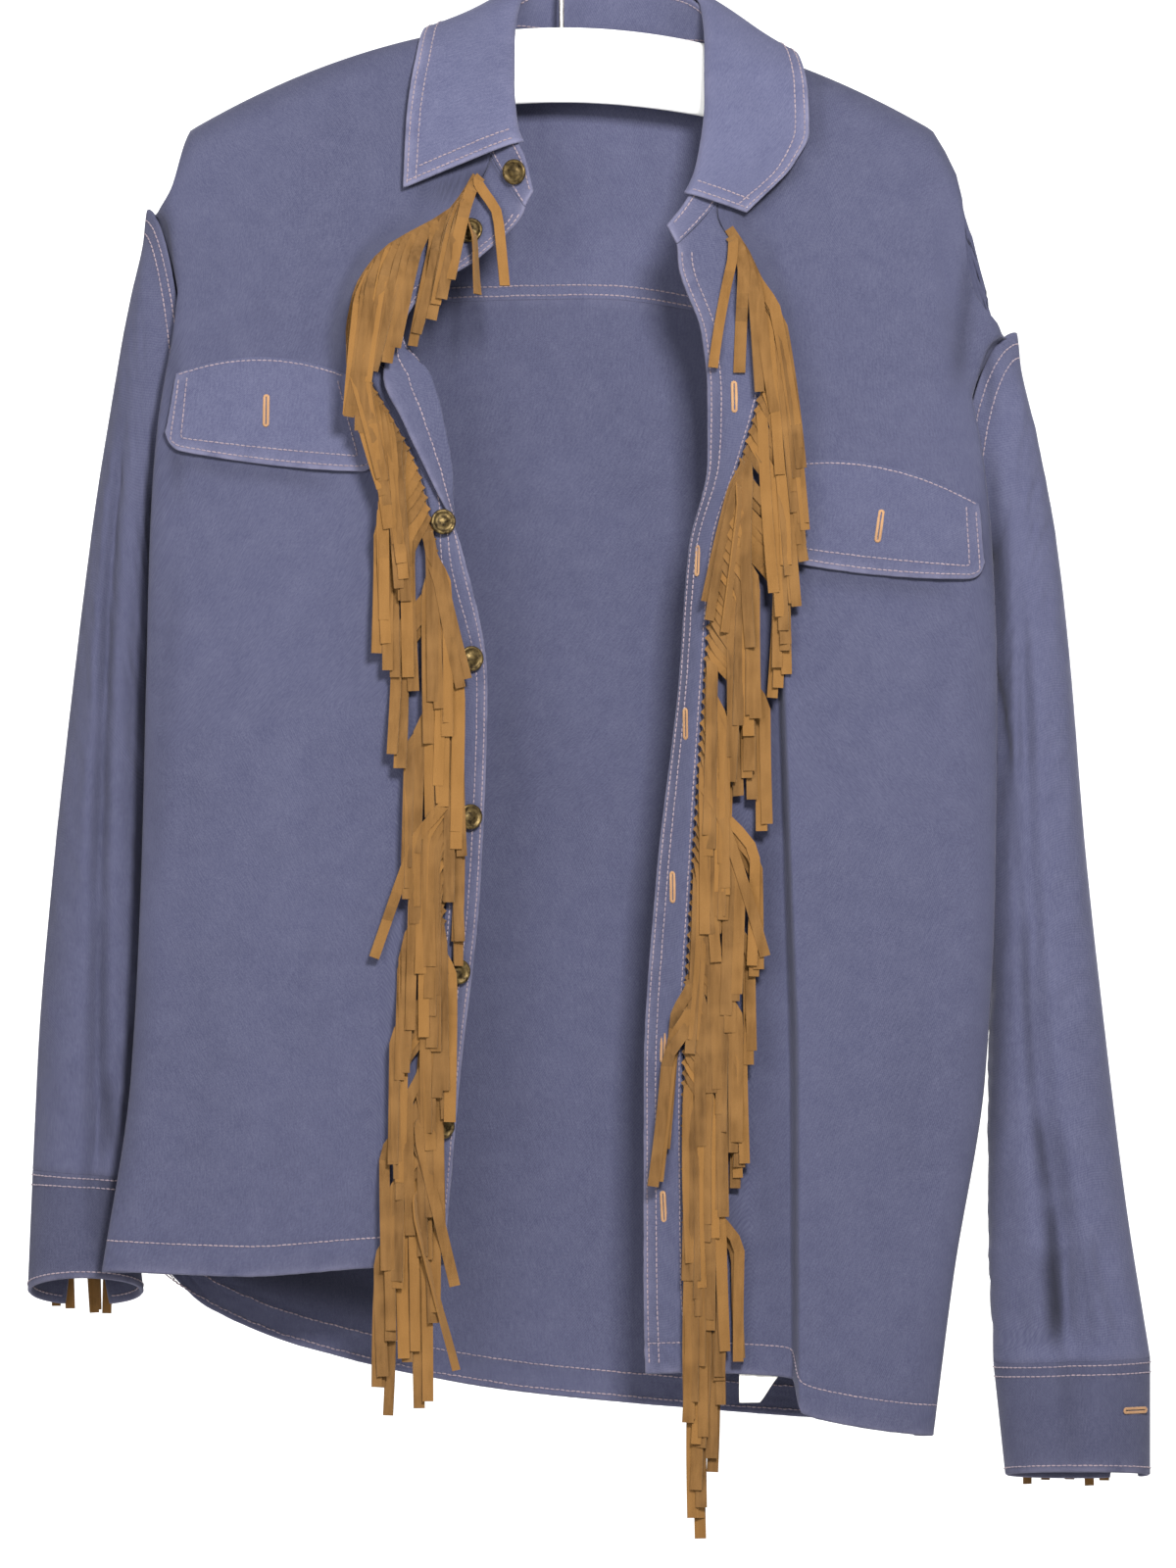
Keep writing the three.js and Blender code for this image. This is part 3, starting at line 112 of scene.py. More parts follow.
FRONT_LEFT_ROWS = [
    [104, 265, 223, -18, -18, 186, -18, 129, -17, 106, -28, 100, -32, 88, -36],
    [144, 265, 225, -20, -21, 186, -22, 129, -22, 104, -36, 94, -40, 80, -42],
    [194, 265, 229, -24, -26, 186, -28, 129, -28, 93, -46, 80, -50, 66, -52],
    [219, 265, 230, -27, -30, 184, -31, 135, -31, 105, -50, 87, -54, 66, -53],
    [266, 265, 234, -31, -35, 175, -37, 141, -38, 120, -54, 101, -55, 82, -51],
    [298, 242, 239, -33, -38, 164, -41, 138, -42, 115, -55, 100, -54, 85, -48],
    [338, 249, 246, -35, -41, 146, -45, 127, -44, 104, -54, 94, -51, 85, -44],
    [389, 246, 251, -35, -43, 129, -48, 115, -44, 89, -52, 80, -47, 74, -38],
    [469, 236, 254, -34, -44, 131, -54, 125, -38, 83, -50, 74, -45, 68, -36],
    [583, 234, 253, -33, -43, 135, -55, 129, -34, 76, -48, 65, -43, 55, -35],
    [697, 230, 247, -31, -42, 139, -55, 132, -33, 71, -46, 59, -42, 48, -34],
    [811, 215, 229, -29, -40, 139, -54, 133, -33, 72, -44, 60, -40, 48, -33],
    [905, 206, 217, -28, -38, 139, -53, 134, -33, 80, -43, 66, -39, 50, -32],
]
SHOULDER_COLUMNS = ["station", "x", "down"]
SHOULDER_RIGHT_ROWS = [[0, -241, 194], [0.05, -234, 175], [0.1, -226, 158], [0.17, -217, 143.3]]
SHOULDER_LEFT_ROWS = [[0, 265, 266], [0.05, 252, 234], [0.1, 241, 203], [0.14, 233, 170], [0.17, 217, 143.3]]
HEM_COLUMNS = ["station", "down"]
HEM_RIGHT_ROWS = [[0, 811], [0.09, 809], [0.4, 812], [0.8, 806], [1, 806]]
HEM_LEFT_ROWS = [[0, 906], [0.17, 904], [0.38, 890], [0.56, 872], [0.8, 868], [1, 869]]
HEM_BACK_ROWS = [
    [0, 811], [0.07, 826], [0.2, 857], [0.33, 873], [0.5, 885], [0.7, 893], [0.85, 899], [1, 906],
]
BACK_STATIONS = [0, 0.05, 0.25, 0.5, 0.75, 0.95, 1]
BACK_SHARES = [0, 0.02, 0.25, 0.5, 0.75, 0.98, 1]
BACK_COLUMNS = ["down", "cornerY", "quarterY", "middleY"]
BACK_ROWS = [
    [100, 18, 20, 25],
    [150, 20, 24, 30],
    [220, 26, 32, 36],
    [400, 32, 38, 41],
    [600, 32, 40, 43],
    [910, 34, 44, 46],
]
YOKE_SEAM_ROWS = [[0, 252], [0.25, 244], [0.5, 241], [0.62, 248], [0.8, 274], [1, 315]]
BACK_NECK_FROM = 0.36
BACK_NECK_TO = 0.64
BACK_SHOULDER = 0.1
NECK_COLUMNS = ["row", "x", "y", "down"]
NECK_ROWS = [
    [0, -22, -52, 190], [1, -31, -49, 177], [2, -41, -42, 160], [3, -50, -28, 128], [4, -51, -14, 100],
    [5, -45, 0, 82.4], [6, -25, 14, 84], [7, 1, 23, 87], [8, 27, 26, 88], [9, 54, 24, 90],
    [10, 79, 15, 93], [11, 99, 0, 92.9], [12, 106, -16, 108], [13, 104, -30, 138], [14, 91, -46, 186],
    [15, 80, -51, 200], [16, 68, -54, 212],
]
FOLD_ROWS = [
    [0, -17, -55, 181], [1, -21, -55, 163], [2, -28, -49, 146], [3, -31, -36, 119], [4, -31, -17, 93],
    [5, -27, 0, 70], [6, -15, 13, 60], [7, 5, 20, 57], [8, 27, 22, 56], [9, 50, 20, 57],
    [10, 71, 12, 62], [11, 84, -1, 74], [12, 87, -19, 97], [13, 87, -36, 130], [14, 80, -50, 172],
    [15, 72, -55, 188], [16, 62, -57, 201],
]
LEAF_ROWS = [
    [1.5, -92, -37, 178], [2.8, -90, -32, 138], [3.9, -85, -23, 104], [5, -79, 0, 83], [6, -60, 26, 84],
    [7, -20, 37, 100], [8, 27, 44, 110], [9, 72, 40, 106], [10, 114, 26, 96], [11, 136, -3, 97],
    [12, 143, -25, 119], [13, 144, -30, 145], [14, 135, -34, 165], [14.8, 108, -46, 193],
]
NECK_RIGHT_ROW = 5
NECK_LEFT_ROW = 11
NECK_LAST_ROW = 16
PLACKET_ROWS = 2
LEAF_BOW = 4
LEAF_RISE = 4.2
STAND_REACH = 0.94
SLEEVE_COLUMNS = ["share", "outerX", "outerDown", "innerX", "innerDown", "frontY", "backY"]
SLEEVE_RIGHT_ROWS = [
    [0, -241, 194, -224, 343, -22, 24],
    [0.03, -245, 211, -230, 355, -22, 24.5],
    [0.1, -254, 250, -237, 384, -22, 27],
    [0.2, -265, 312, -240, 425, -23, 32],
    [0.3, -273, 362, -241, 467, -23, 36],
    [0.5, -287, 474, -242, 549, -22, 40],
    [0.7, -299, 586, -243, 631, -20, 40],
    [0.85, -306, 669, -247, 693, -19, 38],
    [1, -310, 752, -253, 756, -18, 36],
]
SLEEVE_LEFT_ROWS = [
    [0, 265, 266, 249, 378, -22, 24],
    [0.03, 269, 284, 254.5, 392, -22, 24.5],
    [0.1, 279, 326, 256, 427, -23, 27],
    [0.2, 290, 385, 256, 476, -24, 32],
    [0.3, 297, 445, 254, 524, -25, 36],
    [0.5, 307, 564.5, 252, 622, -24, 40],
    [0.7, 320, 684, 250, 720, -23, 40],
    [0.85, 331, 773, 250, 793, -22, 40],
    [1, 345, 862, 253, 865, -20, 38],
]
SLEEVE_SEAM_SHIFT = 0.9
BOW_FADE = 0.05
SWELL_FADE = 0.14
SLEEVE_AROUND = 170
SLEEVE_LENGTH = 580
HEAD_LAP = 0.03
HEAD_OUT = 0.8
HEAD_UP = 4.6
HEAD_WIDER = 0.07
TROUGH_FADE = 0.22
TROUGH_RIGHT = dict(fromShare=0.12, fromPlace=0.2, toPlace=0.65, depth=6, width=0.1)
TROUGH_LEFT = dict(fromShare=0.1, fromPlace=0.66, toPlace=0.5, depth=7, width=0.1)
CUFF_RIGHT = dict(outerX=-313, innerX=-245, frontDown=814, backDown=832, frontY=-16, backY=38,
                  slit=1.5 * math.pi, topGap=0.12, endGap=0.42)
CUFF_LEFT = dict(outerX=345, innerX=260, frontDown=927, backDown=934, frontY=-20, backY=38,
                 slit=1.75 * math.pi, topGap=0.1, endGap=0.3)
FLAP_RIGHT = dict(left=(-224, 287, -230, 330), right=(-125, 288, -108, 344), arch=10, sag=3)
FLAP_LEFT = dict(left=(124, 341, 122, 394), right=(243, 363, 246, 406), arch=12, sag=4)
FLAP_CLOTH = 1.6
FLAP_STAND_OFF = 2
FLAP_CORNER = 9

# ---------------------------------------------------------------- curves and tables


def curve_through(knots, values):
    """A smooth curve through values, numbers or arrays, that never overshoots between two."""
    rises = [(b - a) / (q - p) for a, b, p, q in zip(values, values[1:], knots, knots[1:])]
    slopes = [rises[0]]
    for before, after in zip(rises, rises[1:]):
        total = np.where(np.asarray(before + after) == 0, 1.0, before + after)
        slopes.append(np.where(np.asarray(before * after) <= 0, 0.0, 2 * before * after / total))
    slopes.append(rises[-1])

    def curve(at):
        t = np.clip(at, knots[0], knots[-1])
        result = None
        for k in range(len(knots) - 1):
            width = knots[k + 1] - knots[k]
            s = np.clip((t - knots[k]) / width, 0, 1)
            value = (
                (1 + 2 * s) * (1 - s) ** 2 * values[k]
                + s * s * (3 - 2 * s) * values[k + 1]
                + s * (1 - s) * width * ((1 - s) * slopes[k] - s * slopes[k + 1])
            )
            result = value if result is None else np.where(t > knots[k], value, result)
        return result

    return curve


def table(columns, rows):
    """A table as one curve for each named column, all read by the first column."""
    knots = [row[0] for row in rows]
    return {name: curve_through(knots, [row[k + 1] for row in rows]) for k, name in enumerate(columns[1:])}


def lerp(a, b, t):
    return a + (b - a) * t


def ease(t):
    t = np.clip(t, 0, 1)
    return t * t * (3 - 2 * t)


def point(x, y, down):
    return np.stack(np.broadcast_arrays(x, y, -np.asarray(down, float)), axis=-1).astype(float)


def unit(v):
    return v / np.maximum(np.linalg.norm(v, axis=-1, keepdims=True), 1e-9)


def arch_down(x):
    return ARCH_TOP + ARCH_CURVE * x * x


def waves(x, y, length, seed):
    """A smooth uneven surface between about -1 and 1, with swells of about one length."""
    rng = np.random.default_rng(seed)
    total = 0
    for _ in range(7):
        angle, phase = rng.uniform(0, 2 * math.pi, 2)
        turn = 2 * math.pi / (length * rng.uniform(0.7, 1.5))
        total = total + np.sin(turn * (math.cos(angle) * x + math.sin(angle) * y) + phase)
    return total / 3.2


# each fold line: x from, down from, x to, down to, half width, height


def folds(x, down, rows):
    """Soft ridges and, with a negative height, troughs, each along its own straight line."""
    total = np.zeros(np.broadcast(x, down).shape)
    for x0, d0, x1, d1, width, height in rows:
        run = np.array([x1 - x0, d1 - d0], float)
        length = np.hypot(*run)
        along = ((x - x0) * run[0] + (down - d0) * run[1]) / length**2
        off = ((x - x0) * run[1] - (down - d0) * run[0]) / length
        total = total + height * np.exp(-((off / width) ** 2)) * ease(along / 0.3) * ease((1 - along) / 0.3)
    return total


def shaded(grid, tone, rows):
    """A cloth's painted light and shade at each point: its tone factor, darker along each painted shadow line
    whose amount is negative.
    """
    return tone * (1 + folds(grid[..., 0], -grid[..., 2], rows))


neck_table = table(NECK_COLUMNS, NECK_ROWS)
fold_table = table(NECK_COLUMNS, FOLD_ROWS)
leaf_table = table(NECK_COLUMNS, LEAF_ROWS)


def on_table(lines, row):
    return point(lines["x"](row), lines["y"](row), lines["down"](row))


def stand_rise(row):
    return unit(on_table(fold_table, row) - on_table(neck_table, row))


def neck_at(row):
    edge = on_table(neck_table, row) - stand_rise(row) * SEAM_GAP
    return edge[..., 0], edge[..., 1], -edge[..., 2]


def armhole_at(armhole, side, share):
    share = np.clip(share, 0, 1)
    swell = 2 * np.sqrt(share * (1 - share))
    depth = -armhole["front"] if side == "front" else armhole["back"]
    return lerp(armhole["outerX"], armhole["innerX"], share) + armhole["bow"] * swell, depth * swell


def side_line(armhole, side_x, side, down):
    share = (down - armhole["outerDown"]) / (armhole["innerDown"] - armhole["outerDown"])
    x, y = armhole_at(armhole, side, share)
    below = down >= armhole["innerDown"]
    return np.where(below, side_x(down), x), np.where(below, 0.0, y)


def armhole_down(armhole, row):
    turned = (1 - np.cos(np.clip(row, 0, ARMHOLE_STEPS) / ARMHOLE_STEPS * math.pi)) / 2
    return lerp(armhole["outerDown"], armhole["innerDown"], turned)


def inner_down(row, steps, top, end):
    rounding = top + TOP_ROUNDING * (1 - np.cos(np.clip(row / TOP_STEPS, 0, 1) * math.pi / 2))
    below = lerp(top + TOP_ROUNDING, end, (row - TOP_STEPS) / (steps - TOP_STEPS))
    return np.where(row < TOP_STEPS, rounding, below)


def over_the_top(drop):
    return np.sqrt(1 - (1 - np.clip(drop / TOP_ROUNDING, 0, 1)) ** 2)


# ---------------------------------------------------------------- the body
HEM_DEEP = 17


def hem_swell(x, above):
    """A turned-up hem: a soft roll below its stitching, which pulls in and puckers the cloth."""
    roll = 0.55 * np.exp(-(((above - 8) / 6) ** 2))
    groove = -0.45 * np.exp(-(((above - HEM_DEEP) / 2.2) ** 2))
    slant = x + 0.7 * above + 2.5 * waves(x, above, 30, 7)
    ropes = 0.24 * np.sin(slant * 2 * math.pi / 8.5) * np.exp(-(((above - 9) / 8) ** 4))
    return roll + groove + ropes


class Front:
    """One front's outer surface, by station across it and height down it."""

    def __init__(self, rows, shoulder_rows, hem_rows, armhole, neck_ridge, neck_end, creases, seed):
        self.lines = table(FRONT_COLUMNS, rows)
        self.shoulder = table(SHOULDER_COLUMNS, shoulder_rows)
        self.hem = table(HEM_COLUMNS, hem_rows)["down"]
        self.armhole = armhole
        self.inward = -math.copysign(1, armhole["outerX"])
        self.neck_ridge = neck_ridge
        self.neck_end = neck_end
        self.seam_row = PLACKET_ROWS if neck_end == 0 else neck_end - PLACKET_ROWS
        self.creases = creases
        self.seed = seed

    def section(self, station, down):
        line = {name: curve(down) for name, curve in self.lines.items()}
        side_x, side_y = side_line(self.armhole, self.lines["sideX"], "front", down)
        xs = [
            side_x, lerp(side_x, line["cornerX"], LIP_OUT), line["cornerX"],
            line["cornerX"] + self.inward * FACE_SHIFT, line["crestX"], line["troughX"],
            line["seamX"], line["rollX"], line["edgeX"],
        ]
        ys = [
            side_y, lerp(side_y, line["cornerY"], LIP_FORWARD), line["cornerY"], line["faceY"],
            line["crestY"], line["troughY"], line["seamY"], line["rollY"], line["edgeY"],
        ]
        return curve_through(FRONT_STATIONS, xs)(station), curve_through(FRONT_STATIONS, ys)(station)

    def top(self, station):
        station = np.asarray(station, float)
        along = (station - SHOULDER_STATION) / (NECK_STATION - SHOULDER_STATION)
        ridge_x = lerp(-self.inward * ARCH_REACH, float(neck_table["x"](self.neck_ridge)), along)
        to_seam = (station - NECK_STATION) / (SEAM_STATION - NECK_STATION)
        side_row = lerp(self.neck_ridge, self.seam_row, to_seam)
        end_row = lerp(self.seam_row, self.neck_end, (station - SEAM_STATION) / (1 - SEAM_STATION))
        neck_x, neck_y, neck_down = neck_at(np.where(station <= SEAM_STATION, side_row, end_row))
        on_shoulder = station <= SHOULDER_STATION
        on_ridge = station <= NECK_STATION
        x = np.where(on_shoulder, self.shoulder["x"](station), np.where(on_ridge, ridge_x, neck_x))
        inner = np.where(on_ridge, arch_down(ridge_x), neck_down)
        down = np.where(on_shoulder, self.shoulder["down"](station), inner)
        return x, np.where(on_ridge, 0.0, neck_y), down

    def relief(self, station, x, down):
        soft = 1.1 * waves(x, down * 0.45, 70, self.seed) + 0.3 * waves(x, down, 24, self.seed + 1)
        puckered = 0.16 * waves(x, down, 7, self.seed + 2)
        hem = hem_swell(x, self.hem(station) - down)
        seam = -0.5 * np.exp(-(((station - SEAM_STATION) / 0.006) ** 2))
        return (soft + puckered + folds(x, down, self.creases) + seam) * ease((down - 120) / 60) + hem

    def at(self, station, down):
        start_x, start_y, start_down = self.top(station)
        here_x, here_y = self.section(station, down)
        there_x, _ = self.section(station, start_down)
        fade = 1 - ease((down - start_down) / TOP_FADE)
        rounding = lerp(1, over_the_top(down - start_down), ease(station / RIDGE_STATION))
        x = here_x + (start_x - there_x) * fade
        y = start_y + (here_y - start_y) * rounding
        rise = self.relief(station, x, down) * rounding * ease(station / 0.07)
        return point(x, y - rise, down)

    def row_point(self, station, row):
        below = (row - ARMHOLE_STEPS) / BELOW_STEPS
        side = np.where(
            row < ARMHOLE_STEPS, armhole_down(self.armhole, row),
            lerp(self.armhole["innerDown"], self.hem(0), below),
        )
        inner = inner_down(row, FRONT_STEPS, self.top(station)[2] + SEAM_GAP, self.hem(station))
        return self.at(station, lerp(side, inner, ease(station / SHOULDER_STATION)))

    def depth(self, x, down):
        """The front's depth where it is crossed by a given x, between its corner and its seam."""
        low = np.full(np.broadcast(x, down).shape, CORNER_STATION)
        high = np.full(low.shape, SEAM_STATION)
        for _ in range(22):
            middle = (low + high) / 2
            further = (x - self.at(middle, down)[..., 0]) * self.inward > 0
            low, high = np.where(further, middle, low), np.where(further, high, middle)
        return self.at((low + high) / 2, down)[..., 1]


CREASES_RIGHT = [
    [-212, 230, -150, 205, 9, 1.6], [-214, 262, -168, 246, 7, -1.4], [-196, 420, -205, 700, 16, 1.6],
    [-150, 470, -146, 780, 14, 1.3], [-168, 440, -172, 760, 11, -1.5], [-118, 520, -126, 800, 10, -1.2],
    [-205, 640, -228, 800, 12, -1.3], [-190, 150, -120, 200, 14, 1.0],
]
CREASES_LEFT = [
    [228, 265, 176, 228, 9, 1.7], [238, 300, 196, 262, 8, -1.6], [226, 250, 190, 300, 12, 1.0],
    [186, 460, 190, 800, 18, 1.5], [214, 520, 206, 860, 13, -1.4], [164, 470, 168, 840, 11, -1.1],
    [236, 430, 226, 560, 9, 1.2], [106, 420, 100, 700, 8, 0.9],
]
front_right = Front(
    FRONT_RIGHT_ROWS, SHOULDER_RIGHT_ROWS, HEM_RIGHT_ROWS, ARMHOLE_RIGHT,
    NECK_RIGHT_ROW, 0, CREASES_RIGHT, 11,
)
front_left = Front(
    FRONT_LEFT_ROWS, SHOULDER_LEFT_ROWS, HEM_LEFT_ROWS, ARMHOLE_LEFT,
    NECK_LEFT_ROW, NECK_LAST_ROW, CREASES_LEFT, 21,
)

back_table = table(BACK_COLUMNS, BACK_ROWS)
back_hem = table(HEM_COLUMNS, HEM_BACK_ROWS)["down"]
yoke_seam = table(HEM_COLUMNS, YOKE_SEAM_ROWS)["down"]
CREASES_BACK = [
    [20, 300, 30, 800, 13, -2.6], [-35, 330, -30, 860, 15, 2.2], [62, 330, 74, 860, 13, 1.8],
    [-110, 330, -120, 820, 20, -1.8], [-160, 300, -178, 800, 16, 1.8], [130, 360, 120, 860, 20, -1.8],
    [178, 360, 184, 860, 16, 1.8], [-200, 230, -150, 300, 12, -1.6], [225, 300, 170, 360, 12, -1.6],
    [-60, 130, 0, 150, 14, 1.0], [60, 150, 120, 130, 14, 1.0],
]


def back_section(station, down):
    right_x, right_y = side_line(ARMHOLE_RIGHT, front_right.lines["sideX"], "back", down)
    left_x, left_y = side_line(ARMHOLE_LEFT, front_left.lines["sideX"], "back", down)
    corner, quarter, middle = (back_table[name](down) for name in ("cornerY", "quarterY", "middleY"))
    share = curve_through(BACK_STATIONS, BACK_SHARES)(station)
    ys = [right_y, corner, quarter, middle, quarter, corner, left_y]
    return lerp(right_x, left_x, share), curve_through(BACK_STATIONS, ys)(station)


def back_top(station):
    station = np.asarray(station, float)
    near_right = station / BACK_SHOULDER * SHOULDER_STATION
    near_left = (1 - station) / BACK_SHOULDER * SHOULDER_STATION
    to_neck = (station - BACK_SHOULDER) / (BACK_NECK_FROM - BACK_SHOULDER)
    from_neck = (station - BACK_NECK_TO) / (1 - BACK_SHOULDER - BACK_NECK_TO)
    right_x = lerp(-ARCH_REACH, float(neck_table["x"](NECK_RIGHT_ROW)), to_neck)
    left_x = lerp(float(neck_table["x"](NECK_LEFT_ROW)), ARCH_REACH, from_neck)
    along = np.clip((station - BACK_NECK_FROM) / (BACK_NECK_TO - BACK_NECK_FROM), 0, 1)
    neck_x, neck_y, neck_down = neck_at(lerp(NECK_RIGHT_ROW, NECK_LEFT_ROW, along))
    cases = [
        station <= BACK_SHOULDER, station >= 1 - BACK_SHOULDER,
        station < BACK_NECK_FROM, station > BACK_NECK_TO,
    ]
    x = np.select(
        cases,
        [front_right.shoulder["x"](near_right), front_left.shoulder["x"](near_left), right_x, left_x],
        neck_x,
    )
    down = np.select(
        cases,
        [front_right.shoulder["down"](near_right), front_left.shoulder["down"](near_left),
         arch_down(right_x), arch_down(left_x)],
        neck_down,
    )
    return x, np.select(cases, [0.0, 0.0, 0.0, 0.0], neck_y), down


def back_at(station, down):
    start_x, start_y, start_down = back_top(station)
    here_x, here_y = back_section(station, down)
    there_x, _ = back_section(station, start_down)
    fade = 1 - ease((down - start_down) / TOP_FADE)
    edge = np.minimum(station, 1 - station)
    rounding = lerp(1, over_the_top(down - start_down), ease(edge / BACK_RIDGE_STATION))
    x = here_x + (start_x - there_x) * fade
    y = start_y + (here_y - start_y) * rounding
    soft = 1.2 * waves(x, down * 0.4, 80, 31) + 0.35 * waves(x, down, 24, 32) + 0.16 * waves(x, down, 7, 33)
    seam = -0.6 * np.exp(-(((down - yoke_seam(station)) / 2.5) ** 2))
    soft = (soft + folds(x, down, CREASES_BACK) + seam) * ease((down - 110) / 60)
    soft = soft + hem_swell(x, back_hem(station) - down)
    return point(x, y + soft * rounding * ease(edge / 0.06), down)


def side_down(station, row):
    armhole = np.where(station < 0.5, 0.0, 1.0)
    right = armhole_down(ARMHOLE_RIGHT, row)
    left = armhole_down(ARMHOLE_LEFT, row)
    below = (row - ARMHOLE_STEPS) / BELOW_STEPS
    right = np.where(row <= ARMHOLE_STEPS, right, lerp(ARMHOLE_RIGHT["innerDown"], back_hem(0), below))
    left = np.where(row <= ARMHOLE_STEPS, left, lerp(ARMHOLE_LEFT["innerDown"], back_hem(1), below))
    return lerp(right, left, armhole)


def yoke_point(station, row):
    middle = ease(np.minimum(station, 1 - station) / BACK_SHOULDER)
    seam = lerp(side_down(station, YOKE_STEPS), yoke_seam(station), middle) - SEAM_GAP / 2
    inner = inner_down(row, YOKE_STEPS, back_top(station)[2] + SEAM_GAP, seam)
    return back_at(station, lerp(np.minimum(side_down(station, row), seam), inner, middle))


def back_point(station, row):
    middle = ease(np.minimum(station, 1 - station) / BACK_SHOULDER)
    seam = lerp(side_down(station, YOKE_STEPS), yoke_seam(station), middle) + SEAM_GAP / 2
    inner = lerp(seam, back_hem(station), row / BACK_STEPS)
    return back_at(station, lerp(np.maximum(side_down(station, row + YOKE_STEPS), seam), inner, middle))


# ---------------------------------------------------------------- collar, sleeves, cuffs, flaps


def stand_point(row, up):
    low = on_table(neck_table, row) + stand_rise(row) * SEAM_GAP
    return low + (on_table(fold_table, row) - low) * (up * STAND_REACH)[..., None]


def leaf_point(row, out):
    fold = on_table(fold_table, row) + stand_rise(row) * LEAF_RISE
    edge = on_table(leaf_table, row)
    along = on_table(fold_table, row + 0.1) - on_table(fold_table, row - 0.1)
    bow = unit(np.cross(along, edge - fold))
    lift = LEAF_BOW * np.sin(math.pi * np.sqrt(out))
    lift = lift + 0.4 * waves(row * 18, out * 40, 30, 41) * np.sin(math.pi * out)
    return fold + (edge - fold) * out[..., None] + bow * lift[..., None]


class Sleeve:
    """A sleeve's outer surface by share of its length and angle: 0 outer, a quarter turn front."""

    def __init__(self, rows, armhole, trough, creases, seed):
        self.lines = table(SLEEVE_COLUMNS, rows)
        self.armhole = armhole
        self.outward = math.copysign(1, armhole["outerX"])
        self.trough = trough
        self.creases = creases
        self.seed = seed

    def at(self, share, angle):
        line = {name: curve(share) for name, curve in self.lines.items()}
        across = (1 - np.cos(angle)) / 2
        swell = np.sin(angle)
        middle = (line["frontY"] + line["backY"]) / 2
        half = (line["backY"] - line["frontY"]) / 2
        centre = lerp(0, middle, ease(share / SWELL_FADE))
        at_hole = np.where(swell > 0, self.armhole["front"], self.armhole["back"])
        reach = lerp(at_hole, half, ease(share / SWELL_FADE))
        bow = self.armhole["bow"] * np.abs(swell) * (1 - ease(share / BOW_FADE))
        trough = self.trough
        place = lerp(trough["fromPlace"], trough["toPlace"], share)
        near = np.exp(-(((across - place) / trough["width"]) ** 2))
        depth = trough["depth"] * near * ease((share - trough["fromShare"]) / TROUGH_FADE)
        dip = np.where(swell > 0, depth, 0)
        seam = SLEEVE_SEAM_SHIFT * (1 - ease(share / BOW_FADE))
        x = lerp(line["outerX"], line["innerX"], across) + bow + self.outward * seam
        y = centre - reach * swell + dip
        down = lerp(line["outerDown"], line["innerDown"], across) + seam
        around = angle / (2 * math.pi) * SLEEVE_AROUND
        length = share * SLEEVE_LENGTH
        soft = 0.9 * waves(around, length * 0.4, 50, self.seed)
        soft = soft + 0.4 * waves(around, length, 20, self.seed + 1)
        soft = soft + 0.14 * waves(around, length, 7, self.seed + 2) + folds(around, length, self.creases)
        lap = 1 - ease(share / HEAD_LAP)
        x = x + self.outward * HEAD_OUT * lap
        y = y * (1 + HEAD_WIDER * lap)
        down = down - HEAD_UP * np.cos(angle) * lap
        # the same on both sides of the line at angle 0
        closed = ease(angle / 0.5) * ease((2 * math.pi - angle) / 0.5)
        soft = soft * ease(share / 0.08) * ease((1 - share) / 0.04) * closed
        return point(x + self.outward * np.cos(angle) * soft, y - swell * soft, down)


CREASES_SLEEVE_RIGHT = [
    [28, 90, 32, 205, 4, -2.6], [32, 190, 39, 292, 4, -2.8], [39, 275, 42, 405, 4, -2.8],
    [42, 390, 52, 545, 4, -3.0], [22, 100, 26, 205, 6, 1.8], [26, 190, 31, 292, 6, 1.9],
    [31, 280, 34, 405, 6, 1.8], [52, 515, 53, 578, 3.2, -4.2], [60, 440, 62, 570, 6, 1.8],
    [58, 60, 62, 330, 7, -1.4], [120, 100, 116, 520, 10, 1.6], [140, 120, 140, 560, 8, -1.6],
]
CREASES_SLEEVE_LEFT = [
    [85, 70, 57, 200, 4, -3.0], [57, 188, 51, 310, 3.6, -3.2], [51, 298, 50, 420, 3.6, -3.0],
    [50, 405, 44, 470, 3.8, -3.0], [44, 455, 40, 512, 3.6, -3.2], [39, 498, 46, 578, 3.0, -5.5],
    [49, 188, 44, 310, 6, 1.9], [44, 298, 42, 440, 6, 1.9], [47, 485, 54, 578, 4.5, 3.0],
    [33, 500, 39, 578, 4, 2.4], [36, 490, 28, 578, 4, 2.2], [30, 500, 21, 578, 5, -1.8],
    [86, -60, 85, 330, 13, 8.0],
    [18, 60, 24, 420, 9, 1.2], [120, 100, 116, 520, 10, 1.6], [140, 120, 140, 560, 8, -1.6],
]
sleeve_right = Sleeve(SLEEVE_RIGHT_ROWS, ARMHOLE_RIGHT, TROUGH_RIGHT, CREASES_SLEEVE_RIGHT, 51)
sleeve_left = Sleeve(SLEEVE_LEFT_ROWS, ARMHOLE_LEFT, TROUGH_LEFT, CREASES_SLEEVE_LEFT, 61)


def cuff_surface(cuff, sleeve, seed):
    def surface(turn, fall):
        gap = lerp(cuff["topGap"], cuff["endGap"], fall)
        angle = cuff["slit"] + gap + turn * (2 * math.pi - 2 * gap)
        start = sleeve.at(np.ones_like(angle), np.mod(angle, 2 * math.pi))
        across = (1 - np.cos(angle)) / 2
        swell = np.sin(angle)
        centre = (cuff["frontY"] + cuff["backY"]) / 2
        reach = (cuff["backY"] - cuff["frontY"]) / 2
        soft = 0.5 * waves(turn * 160, fall * 70, 26, seed) * np.sin(math.pi * fall)
        end = point(
            lerp(cuff["outerX"], cuff["innerX"], across), centre - (reach + soft) * swell,
            lerp(cuff["frontDown"], cuff["backDown"], (1 - swell) / 2),
        )
        start[..., 2] -= SEAM_GAP
        return start + (end - start) * fall[..., None]

    return surface


